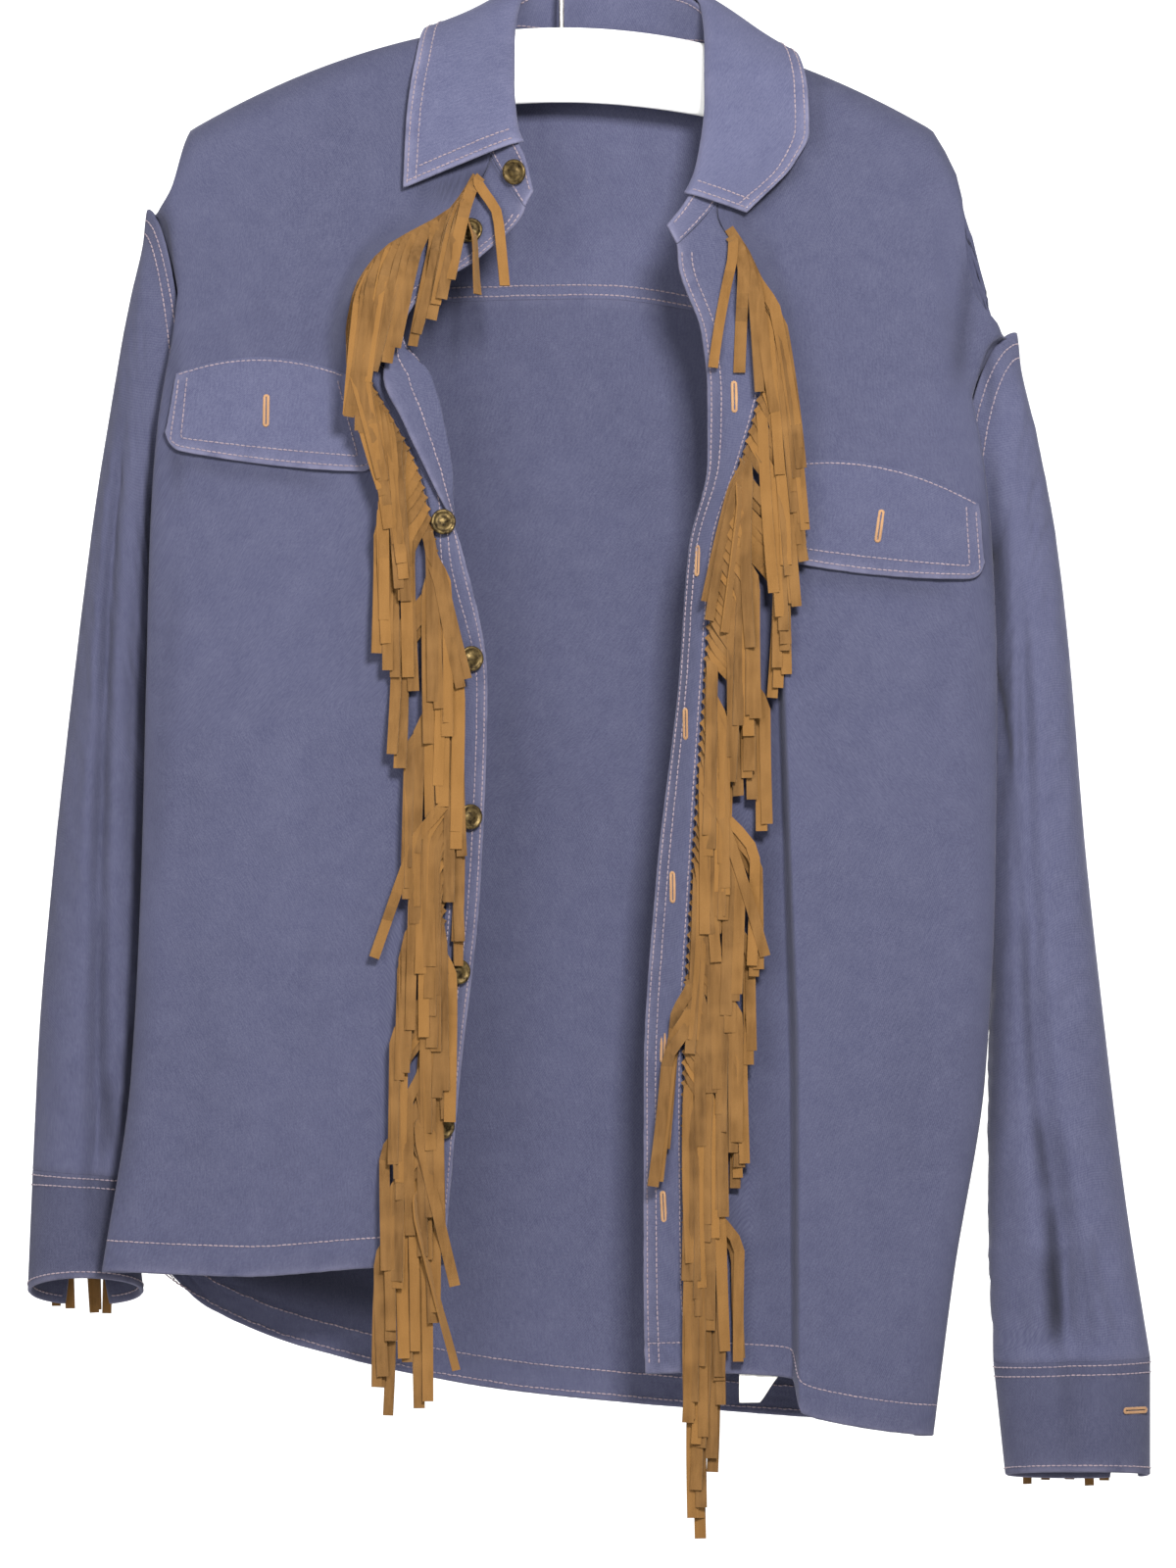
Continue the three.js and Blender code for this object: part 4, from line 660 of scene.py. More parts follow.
cuff_right = cuff_surface(CUFF_RIGHT, sleeve_right, 71)
cuff_left = cuff_surface(CUFF_LEFT, sleeve_left, 72)


def flap_surface(flap, front):
    (left_x, left_down, left_end_x, left_end_down) = flap["left"]
    (right_x, right_down, right_end_x, right_end_down) = flap["right"]

    def surface(across, fall):
        across = np.clip(across, 0, 1)
        arch = 4 * across * (1 - across)
        corner = np.minimum(across, 1 - across) * (right_end_x - left_end_x)
        in_corner = np.maximum(FLAP_CORNER - corner, 0)
        corner_lift = FLAP_CORNER - np.sqrt(FLAP_CORNER**2 - in_corner**2)
        top_down = lerp(left_down, right_down, across) - flap["arch"] * arch
        end_down = lerp(left_end_down, right_end_down, across) + flap["sag"] * arch - corner_lift
        x = lerp(lerp(left_x, right_x, across), lerp(left_end_x, right_end_x, across), fall)
        down = lerp(top_down, end_down, fall)
        wave = 0.8 * np.sin(across * 9 + 1) * fall
        stand = FLAP_STAND_OFF * fall**1.5 + wave * fall
        raised = (LIFT + FLAP_CLOTH) * lerp(0.15, 1, ease(fall / 0.2))
        return point(x, front.depth(x, down) - raised - np.maximum(stand, 0), down)

    return surface


flap_right = flap_surface(FLAP_RIGHT, front_right)
flap_left = flap_surface(FLAP_LEFT, front_left)

# ---------------------------------------------------------------- materials


class Shader:
    """A material's node tree, with short ways to add and join nodes."""

    def __init__(self, name):
        self.material = bpy.data.materials.new(name)
        self.material.use_nodes = True
        self.nodes = self.material.node_tree.nodes
        self.bsdf = self.nodes["Principled BSDF"]

    def add(self, kind, **settings):
        node = self.nodes.new(kind)
        for name, value in settings.items():
            if name in node.inputs.keys():
                node.inputs[name].default_value = value
            else:
                setattr(node, name, value)
        return node

    def join(self, source, target):
        self.material.node_tree.links.new(source, target)

    def noise(self, vector, scale, detail=2.0, roughness=0.5):
        node = self.add("ShaderNodeTexNoise")
        node.inputs["Scale"].default_value = scale
        node.inputs["Detail"].default_value = detail
        node.inputs["Roughness"].default_value = roughness
        self.join(vector, node.inputs["Vector"])
        return node.outputs["Fac"]

    def scaled(self, vector, scale):
        node = self.add("ShaderNodeMapping")
        node.inputs["Scale"].default_value = scale
        self.join(vector, node.inputs["Vector"])
        return node.outputs["Vector"]

    def math(self, operation, a, b=0.5, clamp=False):
        node = self.add("ShaderNodeMath", operation=operation, use_clamp=clamp)
        for socket, value in zip(node.inputs, (a, b)):
            if isinstance(value, (int, float)):
                socket.default_value = value
            else:
                self.join(value, socket)
        return node.outputs["Value"]

    def ramp(self, value, low, high):
        node = self.add("ShaderNodeMapRange")
        node.inputs["From Min"].default_value = low
        node.inputs["From Max"].default_value = high
        self.join(value, node.inputs["Value"])
        return node.outputs["Result"]

    def mix(self, factor, a, b):
        node = self.add("ShaderNodeMix", data_type="RGBA")
        self.join(factor, node.inputs["Factor"])
        for socket, value in zip((node.inputs[6], node.inputs[7]), (a, b)):
            if isinstance(value, tuple):
                socket.default_value = (*value, 1)
            else:
                self.join(value, socket)
        return node.outputs[2]

    def bump(self, height, strength, distance):
        node = self.add("ShaderNodeBump")
        node.inputs["Strength"].default_value = strength
        node.inputs["Distance"].default_value = distance
        self.join(height, node.inputs["Height"])
        self.join(node.outputs["Normal"], self.bsdf.inputs["Normal"])

    def attribute(self, name):
        return self.add("ShaderNodeAttribute", attribute_name=name).outputs["Fac"]

    def set(self, **values):
        for name, value in values.items():
            self.bsdf.inputs[name.replace("_", " ")].default_value = value


DENIM_DARK = (0.034, 0.0355, 0.066)
DENIM_MID = (0.0435, 0.0455, 0.083)
DENIM_LIGHT = (0.073, 0.075, 0.116)
DENIM_WORN = (0.125, 0.120, 0.175)


def denim_material():
    shader = Shader("denim")
    cloth = shader.add("ShaderNodeUVMap", uv_map="cloth").outputs["UV"]
    place = shader.add("ShaderNodeTexCoord").outputs["Object"]
    twill = shader.add("ShaderNodeTexWave", wave_type="BANDS", bands_direction="DIAGONAL")
    twill.inputs["Scale"].default_value = 430
    twill.inputs["Distortion"].default_value = 0.6
    twill.inputs["Detail"].default_value = 1
    shader.join(cloth, twill.inputs["Vector"])
    slubs = shader.noise(shader.scaled(cloth, (1100, 160, 1)), 1.0, 2.0, 0.6)
    grain = shader.noise(shader.scaled(cloth, (900, 900, 1)), 1.0, 1.0, 0.5)
    cloudy = shader.noise(place, 9.0, 3.0, 0.55)
    mottled = shader.noise(place, 70.0, 3.0, 0.6)
    tone = shader.mix(shader.ramp(cloudy, 0.1, 0.9), DENIM_DARK, DENIM_MID)
    fibres = shader.math("ADD", shader.math("MULTIPLY", slubs, 0.5), shader.math("MULTIPLY", grain, 0.5))
    ribs = shader.math("MULTIPLY", twill.outputs["Fac"], 0.1)
    threads = shader.math("ADD", shader.math("MULTIPLY", fibres, 0.8), ribs)
    threads = shader.math("ADD", threads, shader.math("MULTIPLY", mottled, 0.22))
    tone = shader.mix(shader.ramp(threads, 0.42, 0.86), tone, DENIM_LIGHT)
    worn = shader.math("MULTIPLY", shader.attribute("wear"), shader.ramp(mottled, 0.2, 0.62), clamp=True)
    tone = shader.mix(worn, tone, DENIM_WORN)
    # painted light and shade: the colour's value is scaled by each point's painted tone factor and painted
    # shadows
    shaded = shader.add("ShaderNodeHueSaturation")
    shader.join(tone, shaded.inputs["Color"])
    shader.join(shader.attribute("painted_light_and_shade"), shaded.inputs["Value"])
    shader.join(shaded.outputs["Color"], shader.bsdf.inputs["Base Color"])
    height = shader.math("ADD", shader.math("MULTIPLY", twill.outputs["Fac"], 0.12), fibres)
    shader.bump(height, 0.3, 0.0004)
    shader.set(Roughness=0.94, Sheen_Weight=0.10, Sheen_Roughness=0.5, Specular_IOR_Level=0.15)
    shader.bsdf.inputs["Sheen Tint"].default_value = (0.70, 0.70, 0.88, 1)
    return shader.material


def suede_material():
    shader = Shader("suede")
    place = shader.add("ShaderNodeTexCoord").outputs["Object"]
    nap = shader.noise(place, 900.0, 2.0, 0.6)
    streaks = shader.noise(shader.scaled(place, (260, 260, 28)), 1.0, 3.0, 0.6)
    patches = shader.noise(place, 40.0, 2.0, 0.5)
    tone = shader.mix(shader.ramp(streaks, 0.3, 0.7), (0.062, 0.030, 0.009), (0.118, 0.060, 0.020))
    tone = shader.mix(shader.ramp(patches, 0.45, 0.75), tone, (0.140, 0.072, 0.024))
    strand = shader.attribute("tone")
    tone = shader.mix(shader.math("MULTIPLY", strand, 0.7), tone, (0.175, 0.084, 0.022))
    # painted shade: the strands' cut ends painted nearly black, standing in for the shadow at each end
    painted_end_shade = shader.mix(shader.attribute("end"), tone, (0.012, 0.007, 0.005))
    shader.join(painted_end_shade, shader.bsdf.inputs["Base Color"])
    shader.bump(shader.math("ADD", nap, streaks), 0.5, 0.0005)
    shader.set(Roughness=0.96, Sheen_Weight=0.12, Sheen_Roughness=0.6, Specular_IOR_Level=0.12)
    shader.bsdf.inputs["Sheen Tint"].default_value = (0.9, 0.65, 0.4, 1)
    return shader.material


def thread_material(name, low, high):
    shader = Shader(name)
    place = shader.add("ShaderNodeTexCoord").outputs["Object"]
    patches = shader.noise(place, 55.0, 2.0, 0.6)
    fuzz = shader.noise(place, 2200.0, 1.0, 0.5)
    shader.join(shader.mix(shader.ramp(patches, 0.35, 0.65), low, high), shader.bsdf.inputs["Base Color"])
    shader.bump(fuzz, 0.4, 0.0001)
    shader.set(Roughness=0.75, Sheen_Weight=0.2)
    return shader.material


def brass_material():
    shader = Shader("worn_brass")
    place = shader.add("ShaderNodeTexCoord").outputs["Object"]
    tarnish = shader.noise(place, 320.0, 4.0, 0.6)
    scratches = shader.noise(shader.scaled(place, (2600, 400, 900)), 1.0, 2.0, 0.5)
    tone = shader.mix(shader.ramp(tarnish, 0.35, 0.65), (0.018, 0.012, 0.006), (0.13, 0.09, 0.035))
    shader.join(tone, shader.bsdf.inputs["Base Color"])
    shader.join(shader.ramp(tarnish, 1.2, 0.0), shader.bsdf.inputs["Roughness"])
    shader.bump(scratches, 0.15, 0.0002)
    shader.set(Metallic=0.9)
    return shader.material


def plain_material(name, base, spot, roughness, scale, metallic=0.0, coat=0.0):
    shader = Shader(name)
    place = shader.add("ShaderNodeTexCoord").outputs["Object"]
    cloud = shader.noise(place, scale, 3.0, 0.55)
    fine = shader.noise(place, scale * 30, 1.0, 0.5)
    shader.join(shader.mix(shader.ramp(cloud, 0.3, 0.75), base, spot), shader.bsdf.inputs["Base Color"])
    shader.bump(fine, 0.08, 0.0003)
    shader.set(Roughness=roughness, Metallic=metallic, Coat_Weight=coat)
    return shader.material


def label_material():
    shader = Shader("label_cloth")
    cloth = shader.add("ShaderNodeUVMap", uv_map="cloth").outputs["UV"]
    place = shader.add("ShaderNodeTexCoord").outputs["Object"]
    ribs = shader.add("ShaderNodeTexWave", wave_type="BANDS", bands_direction="Y")
    ribs.inputs["Scale"].default_value = 420
    shader.join(cloth, ribs.inputs["Vector"])
    soil = shader.noise(place, 90.0, 3.0, 0.5)
    tone = shader.mix(shader.ramp(soil, 0.35, 0.8), (0.74, 0.73, 0.69), (0.55, 0.53, 0.49))
    shader.join(tone, shader.bsdf.inputs["Base Color"])
    shader.bump(ribs.outputs["Fac"], 0.25, 0.0002)
    shader.set(Roughness=0.85, Sheen_Weight=0.1)
    return shader.material


DENIM = denim_material()
SUEDE = suede_material()
THREAD = thread_material("topstitch_thread", (0.135, 0.105, 0.135), (0.20, 0.150, 0.170))
ORANGE = thread_material("buttonhole_thread", (0.21, 0.105, 0.042), (0.28, 0.15, 0.065))
BRASS = brass_material()
WHITE = plain_material("white_plastic", (0.86, 0.86, 0.85), (0.80, 0.79, 0.77), 0.42, 18.0, coat=0.1)
STEEL = plain_material("hook_wire", (0.62, 0.60, 0.57), (0.48, 0.46, 0.43), 0.32, 60.0, metallic=1.0)
LABEL_CLOTH = label_material()

# ---------------------------------------------------------------- meshes


def make_object(name, vertices, faces, material, attributes=None, uv=None, recalc=True):
    """An object in metres from millimetre points, with point attributes and a "cloth" UV map."""
    mesh = bpy.data.meshes.new(name)
    mesh.from_pydata((np.asarray(vertices, float) * 0.001).tolist(), [], [tuple(map(int, f)) for f in faces])
    mesh.update()
    for key, values in (attributes or {}).items():
        layer = mesh.attributes.new(key, "FLOAT", "POINT")
        layer.data.foreach_set("value", np.asarray(values, np.float32))
    if uv is not None:
        corners = np.zeros(len(mesh.loops), np.int32)
        mesh.loops.foreach_get("vertex_index", corners)
        layer = mesh.uv_layers.new(name="cloth")
        layer.data.foreach_set("uv", np.asarray(uv, np.float32)[corners].ravel())
    if recalc:
        work = bmesh.new()
        work.from_mesh(mesh)
        bmesh.ops.recalc_face_normals(work, faces=work.faces)
        work.to_mesh(mesh)
        work.free()
    mesh.polygons.foreach_set("use_smooth", np.ones(len(mesh.polygons), bool))
    mesh.materials.append(material)
    piece = bpy.data.objects.new(name, mesh)
    bpy.context.scene.collection.objects.link(piece)
    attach(piece, "root")
    return piece


def surface_grid(surface, us, vs):
    u, v = np.meshgrid(np.asarray(us, float), np.asarray(vs, float), indexing="ij")
    return surface(u, v)


def grid_normals(grid, side, closed=False):
    if closed:
        along = np.roll(grid, -1, axis=0) - np.roll(grid, 1, axis=0)
    else:
        along = np.gradient(grid, axis=0)
    return unit(np.cross(along, np.gradient(grid, axis=1))) * side


def cloth_shell(
    name, grid, thickness, side, worn=(0, 0, 0, 0), closed=False, material=None, painted_light_and_shade=1.0, shadows=(),
):
    """A shell of cloth with rounded edges under the points of its face. worn tells how rubbed its
    first and last line across and its first and last line down are. Its colour also carries painted
    light and shade: a tone factor for the whole piece, lighter or darker, and lines of painted shadow."""
    across, rows = grid.shape[:2]
    normals = grid_normals(grid, side, closed)
    under = grid - normals * thickness
    steps_across = np.linalg.norm(np.diff(grid, axis=0), axis=-1)
    steps_down = np.linalg.norm(np.diff(grid, axis=1), axis=-1)
    from_left = np.vstack([np.zeros((1, rows)), np.cumsum(steps_across, axis=0)])
    from_top = np.hstack([np.zeros((across, 1)), np.cumsum(steps_down, axis=1)])
    gaps = (from_left, from_left[-1:] - from_left, from_top, from_top[:, -1:] - from_top)
    wear = np.max([w * np.exp(-gap / 3.0) for w, gap in zip(worn, gaps)], axis=0)
    uv = np.stack([from_left, from_top], axis=-1) * 0.001

    index = np.arange(across * rows).reshape(across, rows)
    if closed:
        ring = np.vstack([index, index[:1]])
    else:
        ring = index
    quads = np.stack([ring[:-1, :-1], ring[1:, :-1], ring[1:, 1:], ring[:-1, 1:]], axis=-1).reshape(-1, 4)
    faces = [quads, quads[:, ::-1] + across * rows]
    points = [grid.reshape(-1, 3), under.reshape(-1, 3)]
    wears = [wear.ravel(), wear.ravel() * 0.5]
    # painted light and shade for each point, the same on both faces
    tones = shaded(grid, painted_light_and_shade, shadows)
    painted_light_and_shade_values = [tones.ravel(), tones.ravel()]
    uvs = [uv.reshape(-1, 2), uv.reshape(-1, 2)]

    if closed:
        loops = [[(i, 0) for i in range(across)], [(i, rows - 1) for i in range(across)]]
    else:
        loops = [
            [(i, 0) for i in range(across)] + [(across - 1, j) for j in range(1, rows)]
            + [(i, rows - 1) for i in range(across - 2, -1, -1)] + [(0, j) for j in range(rows - 2, 0, -1)]
        ]
    count = 2 * across * rows
    for loop in loops:
        i = np.array([a for a, _ in loop])
        j = np.array([b for _, b in loop])
        outward = np.zeros((len(loop), 3))
        if not closed:
            after, before = np.minimum(i + 1, across - 1), np.maximum(i - 1, 0)
            outward += np.where((i == 0)[:, None], unit(grid[i, j] - grid[after, j]), 0)
            outward += np.where((i == across - 1)[:, None], unit(grid[i, j] - grid[before, j]), 0)
        outward += np.where((j == 0)[:, None], unit(grid[i, j] - grid[i, np.minimum(j + 1, rows - 1)]), 0)
        outward += np.where((j == rows - 1)[:, None], unit(grid[i, j] - grid[i, np.maximum(j - 1, 0)]), 0)
        points.append((grid[i, j] + under[i, j]) / 2 + unit(outward) * (thickness * 0.42))
        wears.append(wear[i, j])
        painted_light_and_shade_values.append(tones[i, j])
        uvs.append(uv[i, j])
        flat = index[i, j]
        middle = count + np.arange(len(loop))
        after = np.roll(middle, -1)
        faces.append(np.stack([flat, middle, after, np.roll(flat, -1)], axis=-1))
        low = flat + across * rows
        faces.append(np.stack([middle, low, np.roll(low, -1), after], axis=-1))
        count += len(loop)
    return make_object(
        name, np.concatenate(points), np.concatenate(faces), material or DENIM,
        {"wear": np.concatenate(wears), "painted_light_and_shade": np.concatenate(painted_light_and_shade_values)}, np.concatenate(uvs),
    )


def joined(*spans):
    """Points from one end to the other through spans of their own spacing: from, to, count."""
    parts = [np.linspace(*span) for span in spans]
    return np.concatenate([part[:-1] for part in parts[:-1]] + parts[-1:])


ROWS_FINE = joined((0, TOP_STEPS, 22), (TOP_STEPS, FRONT_STEPS - 1, 130), (FRONT_STEPS - 1, FRONT_STEPS, 28))
SIDE_INSET = 0.0026
PLACKET_INSET = 0.0022
BACK_INSET = 0.0013
PANEL_FINE = joined((SIDE_INSET, 0.09, 14), (0.09, 0.78, 62), (0.78, SEAM_STATION - PLACKET_INSET, 8))
BAND_FINE = np.linspace(SEAM_STATION + PLACKET_INSET, 1, 22)
pieces = {}


def sheet(piece, node, flat, area):
    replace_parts(piece, node)
    pieces[node] = piece


# painted shadows: each line darkens the cloth's colour along it (x from, down from, x to, down to, half width,
# amount); they stand for the shade in creases, beside the sleeves, under the collar leaf and the flaps, and
# inside the back below the front hem, and are painted on both faces
SHADOWS_FRONT_RIGHT = [
    [-234, 182, -226, 262, 5, -0.34], [-228, 240, -222, 375, 5, -0.24], [-82, 183, -28, 168, 6, -0.42],
    [-84, 110, -80, 196, 5, -0.26], [-238, 336, -122, 352, 6, -0.22], [-222, 360, -240, 620, 7, -0.12],
    [-240, 600, -262, 800, 7, -0.14],
]
SHADOWS_FRONT_LEFT = [
    [240, 205, 229, 305, 5, -0.34], [258, 255, 248, 440, 6, -0.26], [64, 193, 98, 203, 5, -0.40],
    [92, 204, 150, 156, 6, -0.28], [150, 96, 150, 168, 5, -0.2], [112, 400, 244, 416, 6, -0.22],
    [122, 320, 118, 880, 7, -0.10],
]
SHADOWS_BACK = [
    [-215, 800, -70, 838, 14, -0.55], [-60, 560, -80, 905, 30, -0.08], [60, 560, 64, 905, 14, -0.10],
]
SHADOWS_SLEEVE_RIGHT = [
    [-254, 290, -266, 400, 3.5, -0.16], [-265.6, 375, -267.5, 490, 3.5, -0.2],
    [-267, 465, -271, 600, 3.5, -0.22],
    [-271, 570, -269, 720, 3.5, -0.24], [-266, 690, -262, 745, 4, -0.36], [-300, 500, -302, 730, 9, -0.08],
]
SHADOWS_SLEEVE_LEFT = [
    [246, 222, 252, 330, 4, -0.3], [251, 315, 257, 450, 4, -0.28], [256, 430, 268, 605, 4, -0.24],
    [267, 580, 277, 735, 4, -0.28], [277, 715, 286, 772, 4, -0.46], [285, 756, 291, 862, 4.5, -0.6],
    [280, 790, 288, 862, 6, -0.3], [289, 720, 303, 800, 3.5, -0.2], [302, 780, 312, 862, 3.5, -0.24],
    [262, 735, 272, 860, 7, -0.12],
]
SHADOWS_CUFF = [[-265, 735, -268, 830, 7, -0.36], [296, 850, 299, 935, 8, -0.12]]
# the fronts' tone factors are painted shade, darker than the cloth's own colour, with the painted shadows above
for label, front, side, flat, area, painted_light_and_shade, shadows in (
    ("right", front_right, -1, (0.245, 0.73), 0.150, 0.93, SHADOWS_FRONT_RIGHT),
    ("left", front_left, 1, (0.235, 0.81), 0.160, 0.92, SHADOWS_FRONT_LEFT),
):
    grid = surface_grid(front.row_point, PANEL_FINE, ROWS_FINE)
    shell = cloth_shell(
        f"front_{label}_cloth", grid, CLOTH, side, (0, 0, 0, 0.4), painted_light_and_shade=painted_light_and_shade, shadows=shadows,
    )
    sheet(shell, f"front_{label}", flat, area)
for label, front, side in (("right", front_right, -1), ("left", front_left, 1)):
    grid = surface_grid(front.row_point, BAND_FINE, ROWS_FINE)
    shell = cloth_shell(f"placket_{label}_cloth", grid, BAND_CLOTH, side, (0, 0.8, 0, 0.4))
    sheet(shell, f"placket_{label}", (0.032, 0.70), 0.0185)
BACK_FINE = joined((BACK_INSET, 0.05, 10), (0.05, 0.95, 112), (0.95, 1 - BACK_INSET, 10))
YOKE_ROWS = joined((0, TOP_STEPS, 22), (TOP_STEPS, YOKE_STEPS, 34))
BACK_ROWS_FINE = joined((0, BACK_STEPS - 0.7, 130), (BACK_STEPS - 0.7, BACK_STEPS, 24))
# painted light on the yoke and a little painted shade on the back, by their tone factors
grid = surface_grid(yoke_point, BACK_FINE, YOKE_ROWS)
sheet(cloth_shell("yoke_cloth", grid, CLOTH, 1, (0, 0, 0, 0.2), painted_light_and_shade=1.1), "yoke", (0.51, 0.18), 0.073)
grid = surface_grid(back_point, BACK_FINE, BACK_ROWS_FINE)
shell = cloth_shell("back_cloth", grid, CLOTH, 1, (0, 0, 0.2, 0.4), painted_light_and_shade=0.97, shadows=SHADOWS_BACK)
sheet(shell, "back", (0.52, 0.66), 0.305)
STAND_FINE = np.linspace(0, NECK_LAST_ROW, 150)
LEAF_FINE = np.linspace(LEAF_ROWS[0][0], LEAF_ROWS[-1][0], 150)
# the collar stand and leaf painted lighter, as painted light, by their tone factors
grid = surface_grid(stand_point, STAND_FINE, np.linspace(0, 1, 14))
shell = cloth_shell("collar_stand_cloth", grid, BAND_CLOTH, -1, (0.8, 0.8, 0.1, 0.4), painted_light_and_shade=1.15)
sheet(shell, "collar_stand", (0.44, 0.032), 0.0082)
grid = surface_grid(leaf_point, LEAF_FINE, np.linspace(0, 1, 26))
shell = cloth_shell("collar_leaf_cloth", grid, BAND_CLOTH, 1, (0.6, 0.6, 0.2, 0.7), painted_light_and_shade=1.3)
sheet(shell, "collar_leaf", (0.43, 0.064), 0.0215)
TURNS = np.linspace(0, 1, 97)[:-1]
SHARES = np.linspace(0, 1, 150) ** 1.15
# the right sleeve a little painted shade, the left one painted light, with painted crease shadows
for label, sleeve, side, area, painted_light_and_shade, shadows in (
    ("right", sleeve_right, -1, 0.0815, 0.98, SHADOWS_SLEEVE_RIGHT),
    ("left", sleeve_left, 1, 0.100, 1.12, SHADOWS_SLEEVE_LEFT),
):
    grid = surface_grid(lambda turn, share, s=sleeve: s.at(share, turn * 2 * math.pi), TURNS, SHARES)
    shell = cloth_shell(
        f"sleeve_{label}_cloth", grid, CLOTH, side, (0, 0, 0.1, 0.1),
        closed=True, painted_light_and_shade=painted_light_and_shade, shadows=shadows,
    )
    sheet(shell, f"sleeve_{label}", (0.19, 0.60), area)
# the cuffs painted darker as painted shade, with painted shadow lines
for label, cuff, side in (("right", cuff_right, -1), ("left", cuff_left, 1)):
    grid = surface_grid(cuff, np.linspace(0, 1, 90), np.linspace(0, 1, 26))
    shell = cloth_shell(
        f"cuff_{label}_cloth", grid, BAND_CLOTH, side, (0.5, 0.5, 0.1, 0.6), painted_light_and_shade=0.8, shadows=SHADOWS_CUFF,
    )
    sheet(shell, f"cuff_{label}", (0.20, 0.072), 0.0115)
FLAP_FINE = joined((0, 0.08, 10), (0.08, 0.92, 44), (0.92, 1, 10))
# the flaps painted lighter as painted light
for label, flap, painted_light_and_shade in (("right", flap_right, 1.13), ("left", flap_left, 1.02)):
    grid = surface_grid(flap, FLAP_FINE, np.linspace(0, 1, 22))
    shell = cloth_shell(
        f"pocket_flap_{label}_cloth", grid, FLAP_CLOTH, -1, (0.45, 0.45, 0, 0.6), painted_light_and_shade=painted_light_and_shade,
    )
    sheet(shell, f"pocket_flap_{label}", (0.124, 0.062), 0.0069)

# ---------------------------------------------------------------- topstitching
STITCH_PITCH = 3.1
STITCH_LENGTH = 2.6
THREAD_RADIUS = 0.45


def line_on(surface, us, vs, side, lift, eps=(1e-3, 1e-3)):
    """Points along a surface and its outward normals, the points moved out by lift."""
    u, v = np.broadcast_arrays(np.asarray(us, float), np.asarray(vs, float))
    along = surface(u + eps[0], v) - surface(u - eps[0], v)
    below = surface(u, v + eps[1]) - surface(u, v - eps[1])
    normals = unit(np.cross(along, below)) * side
    return surface(u, v) + normals * lift, normals


def stitches(name, lines, seed, material=None):
    """Short threads along each line, each one dipping into the cloth at both ends."""
    rng = np.random.default_rng(seed)
    starts, ends, ups = [], [], []
    for points, normals in lines:
        run = np.concatenate([[0], np.cumsum(np.linalg.norm(np.diff(points, axis=0), axis=1))])
        at = np.arange(0.5, run[-1] - STITCH_LENGTH, STITCH_PITCH)
        take = lambda data, s: np.stack([np.interp(s, run, data[:, k]) for k in range(3)], axis=-1)
        starts.append(take(points, at))
        ends.append(take(points, at + STITCH_LENGTH))
        ups.append(unit(take(normals, at + STITCH_LENGTH / 2)))
    start, end, up = (np.concatenate(part) for part in (starts, ends, ups))
    along = unit(end - start)
    beside = unit(np.cross(up, along))
    start = start + beside * rng.uniform(-0.12, 0.12, (len(start), 1))
    end = end + beside * rng.uniform(-0.12, 0.12, (len(end), 1))
    rings = []
    for share, radius, rise in ((0, 0.55, -0.12), (0.3, 1, 0.1), (0.7, 1, 0.1), (1, 0.55, -0.12)):
        centre = start + (end - start) * share + up * rise
        for k in range(5):
            turn = 2 * math.pi * k / 5
            offset = beside * math.cos(turn) + up * math.sin(turn)
            rings.append(centre + offset * THREAD_RADIUS * radius)
    vertices = np.stack(rings, axis=1)
    faces = []
    for ring in range(3):
        for k in range(5):
            after = (k + 1) % 5
            faces.append((ring * 5 + k, ring * 5 + after, ring * 5 + 5 + after, ring * 5 + 5 + k))
    pattern = np.array(faces)
    shift = (np.arange(len(start)) * 20)[:, None, None]
    quads = (pattern[None] + shift).reshape(-1, 4)
    caps = [tuple(range(4, -1, -1)), tuple(range(15, 20))]
    ends_of = [tuple(c + 20 * n for c in cap) for n in range(len(start)) for cap in caps]
    sides_and_ends = list(map(tuple, quads.tolist())) + ends_of
    piece = make_object(name, vertices.reshape(-1, 3), sides_and_ends, material or THREAD, recalc=False)
    return piece


EDGE_ROW = 2.4
INNER_ROW = 8.2


def front_stitches(front, side, name, seed):
    """Rows beside the open edge and the band's seam, and along the hem."""
    lines = []
    start = float(front.top(np.array(1.0))[2])
    downs = np.linspace(start + 4, float(front.hem(1.0)) - 4, 260)
    across_band = front.at(np.full(260, SEAM_STATION), downs) - front.at(np.ones(260), downs)
    band = np.linalg.norm(across_band, axis=-1)
    for inset in (EDGE_ROW, INNER_ROW):
        station = 1 - 0.2 * inset / np.maximum(band, 12)
        lines.append(line_on(front.at, station, downs, side, 0.12, (1e-3, 0.5)))
        lines.append(line_on(front.at, station, downs, -side, BAND_CLOTH + 0.12, (1e-3, 0.5)))
    for inset in (2.2,):
        station = SEAM_STATION + 0.2 * inset / np.maximum(band, 12)
        lines.append(line_on(front.at, station, downs, side, 0.12, (1e-3, 0.5)))
    stations = np.linspace(0.03, 0.995, 200)
    lines.append(line_on(front.at, stations, front.hem(stations) - HEM_DEEP, side, 0.12, (1e-3, 0.5)))
    along_hem = front.hem(stations) - HEM_DEEP
    lines.append(line_on(front.at, stations, along_hem, -side, CLOTH + 0.12, (1e-3, 0.5)))
    return stitches(name, lines, seed)


front_stitches(front_right, -1, "stitches_front_right", 101)
front_stitches(front_left, 1, "stitches_front_left", 102)

stations = np.linspace(0.02, 0.98, 300)
back_lines = []
for lift, side in ((0.12, 1), (CLOTH + 0.12, -1)):
    for offset in (-2.2, -8.2):
        back_lines.append(line_on(back_at, stations, yoke_seam(stations) + offset, side, lift, (1e-3, 0.5)))
    for offset in (3, HEM_DEEP):
        back_lines.append(line_on(back_at, stations, back_hem(stations) - offset, side, lift, (1e-3, 0.5)))
stitches("stitches_back", back_lines, 103)

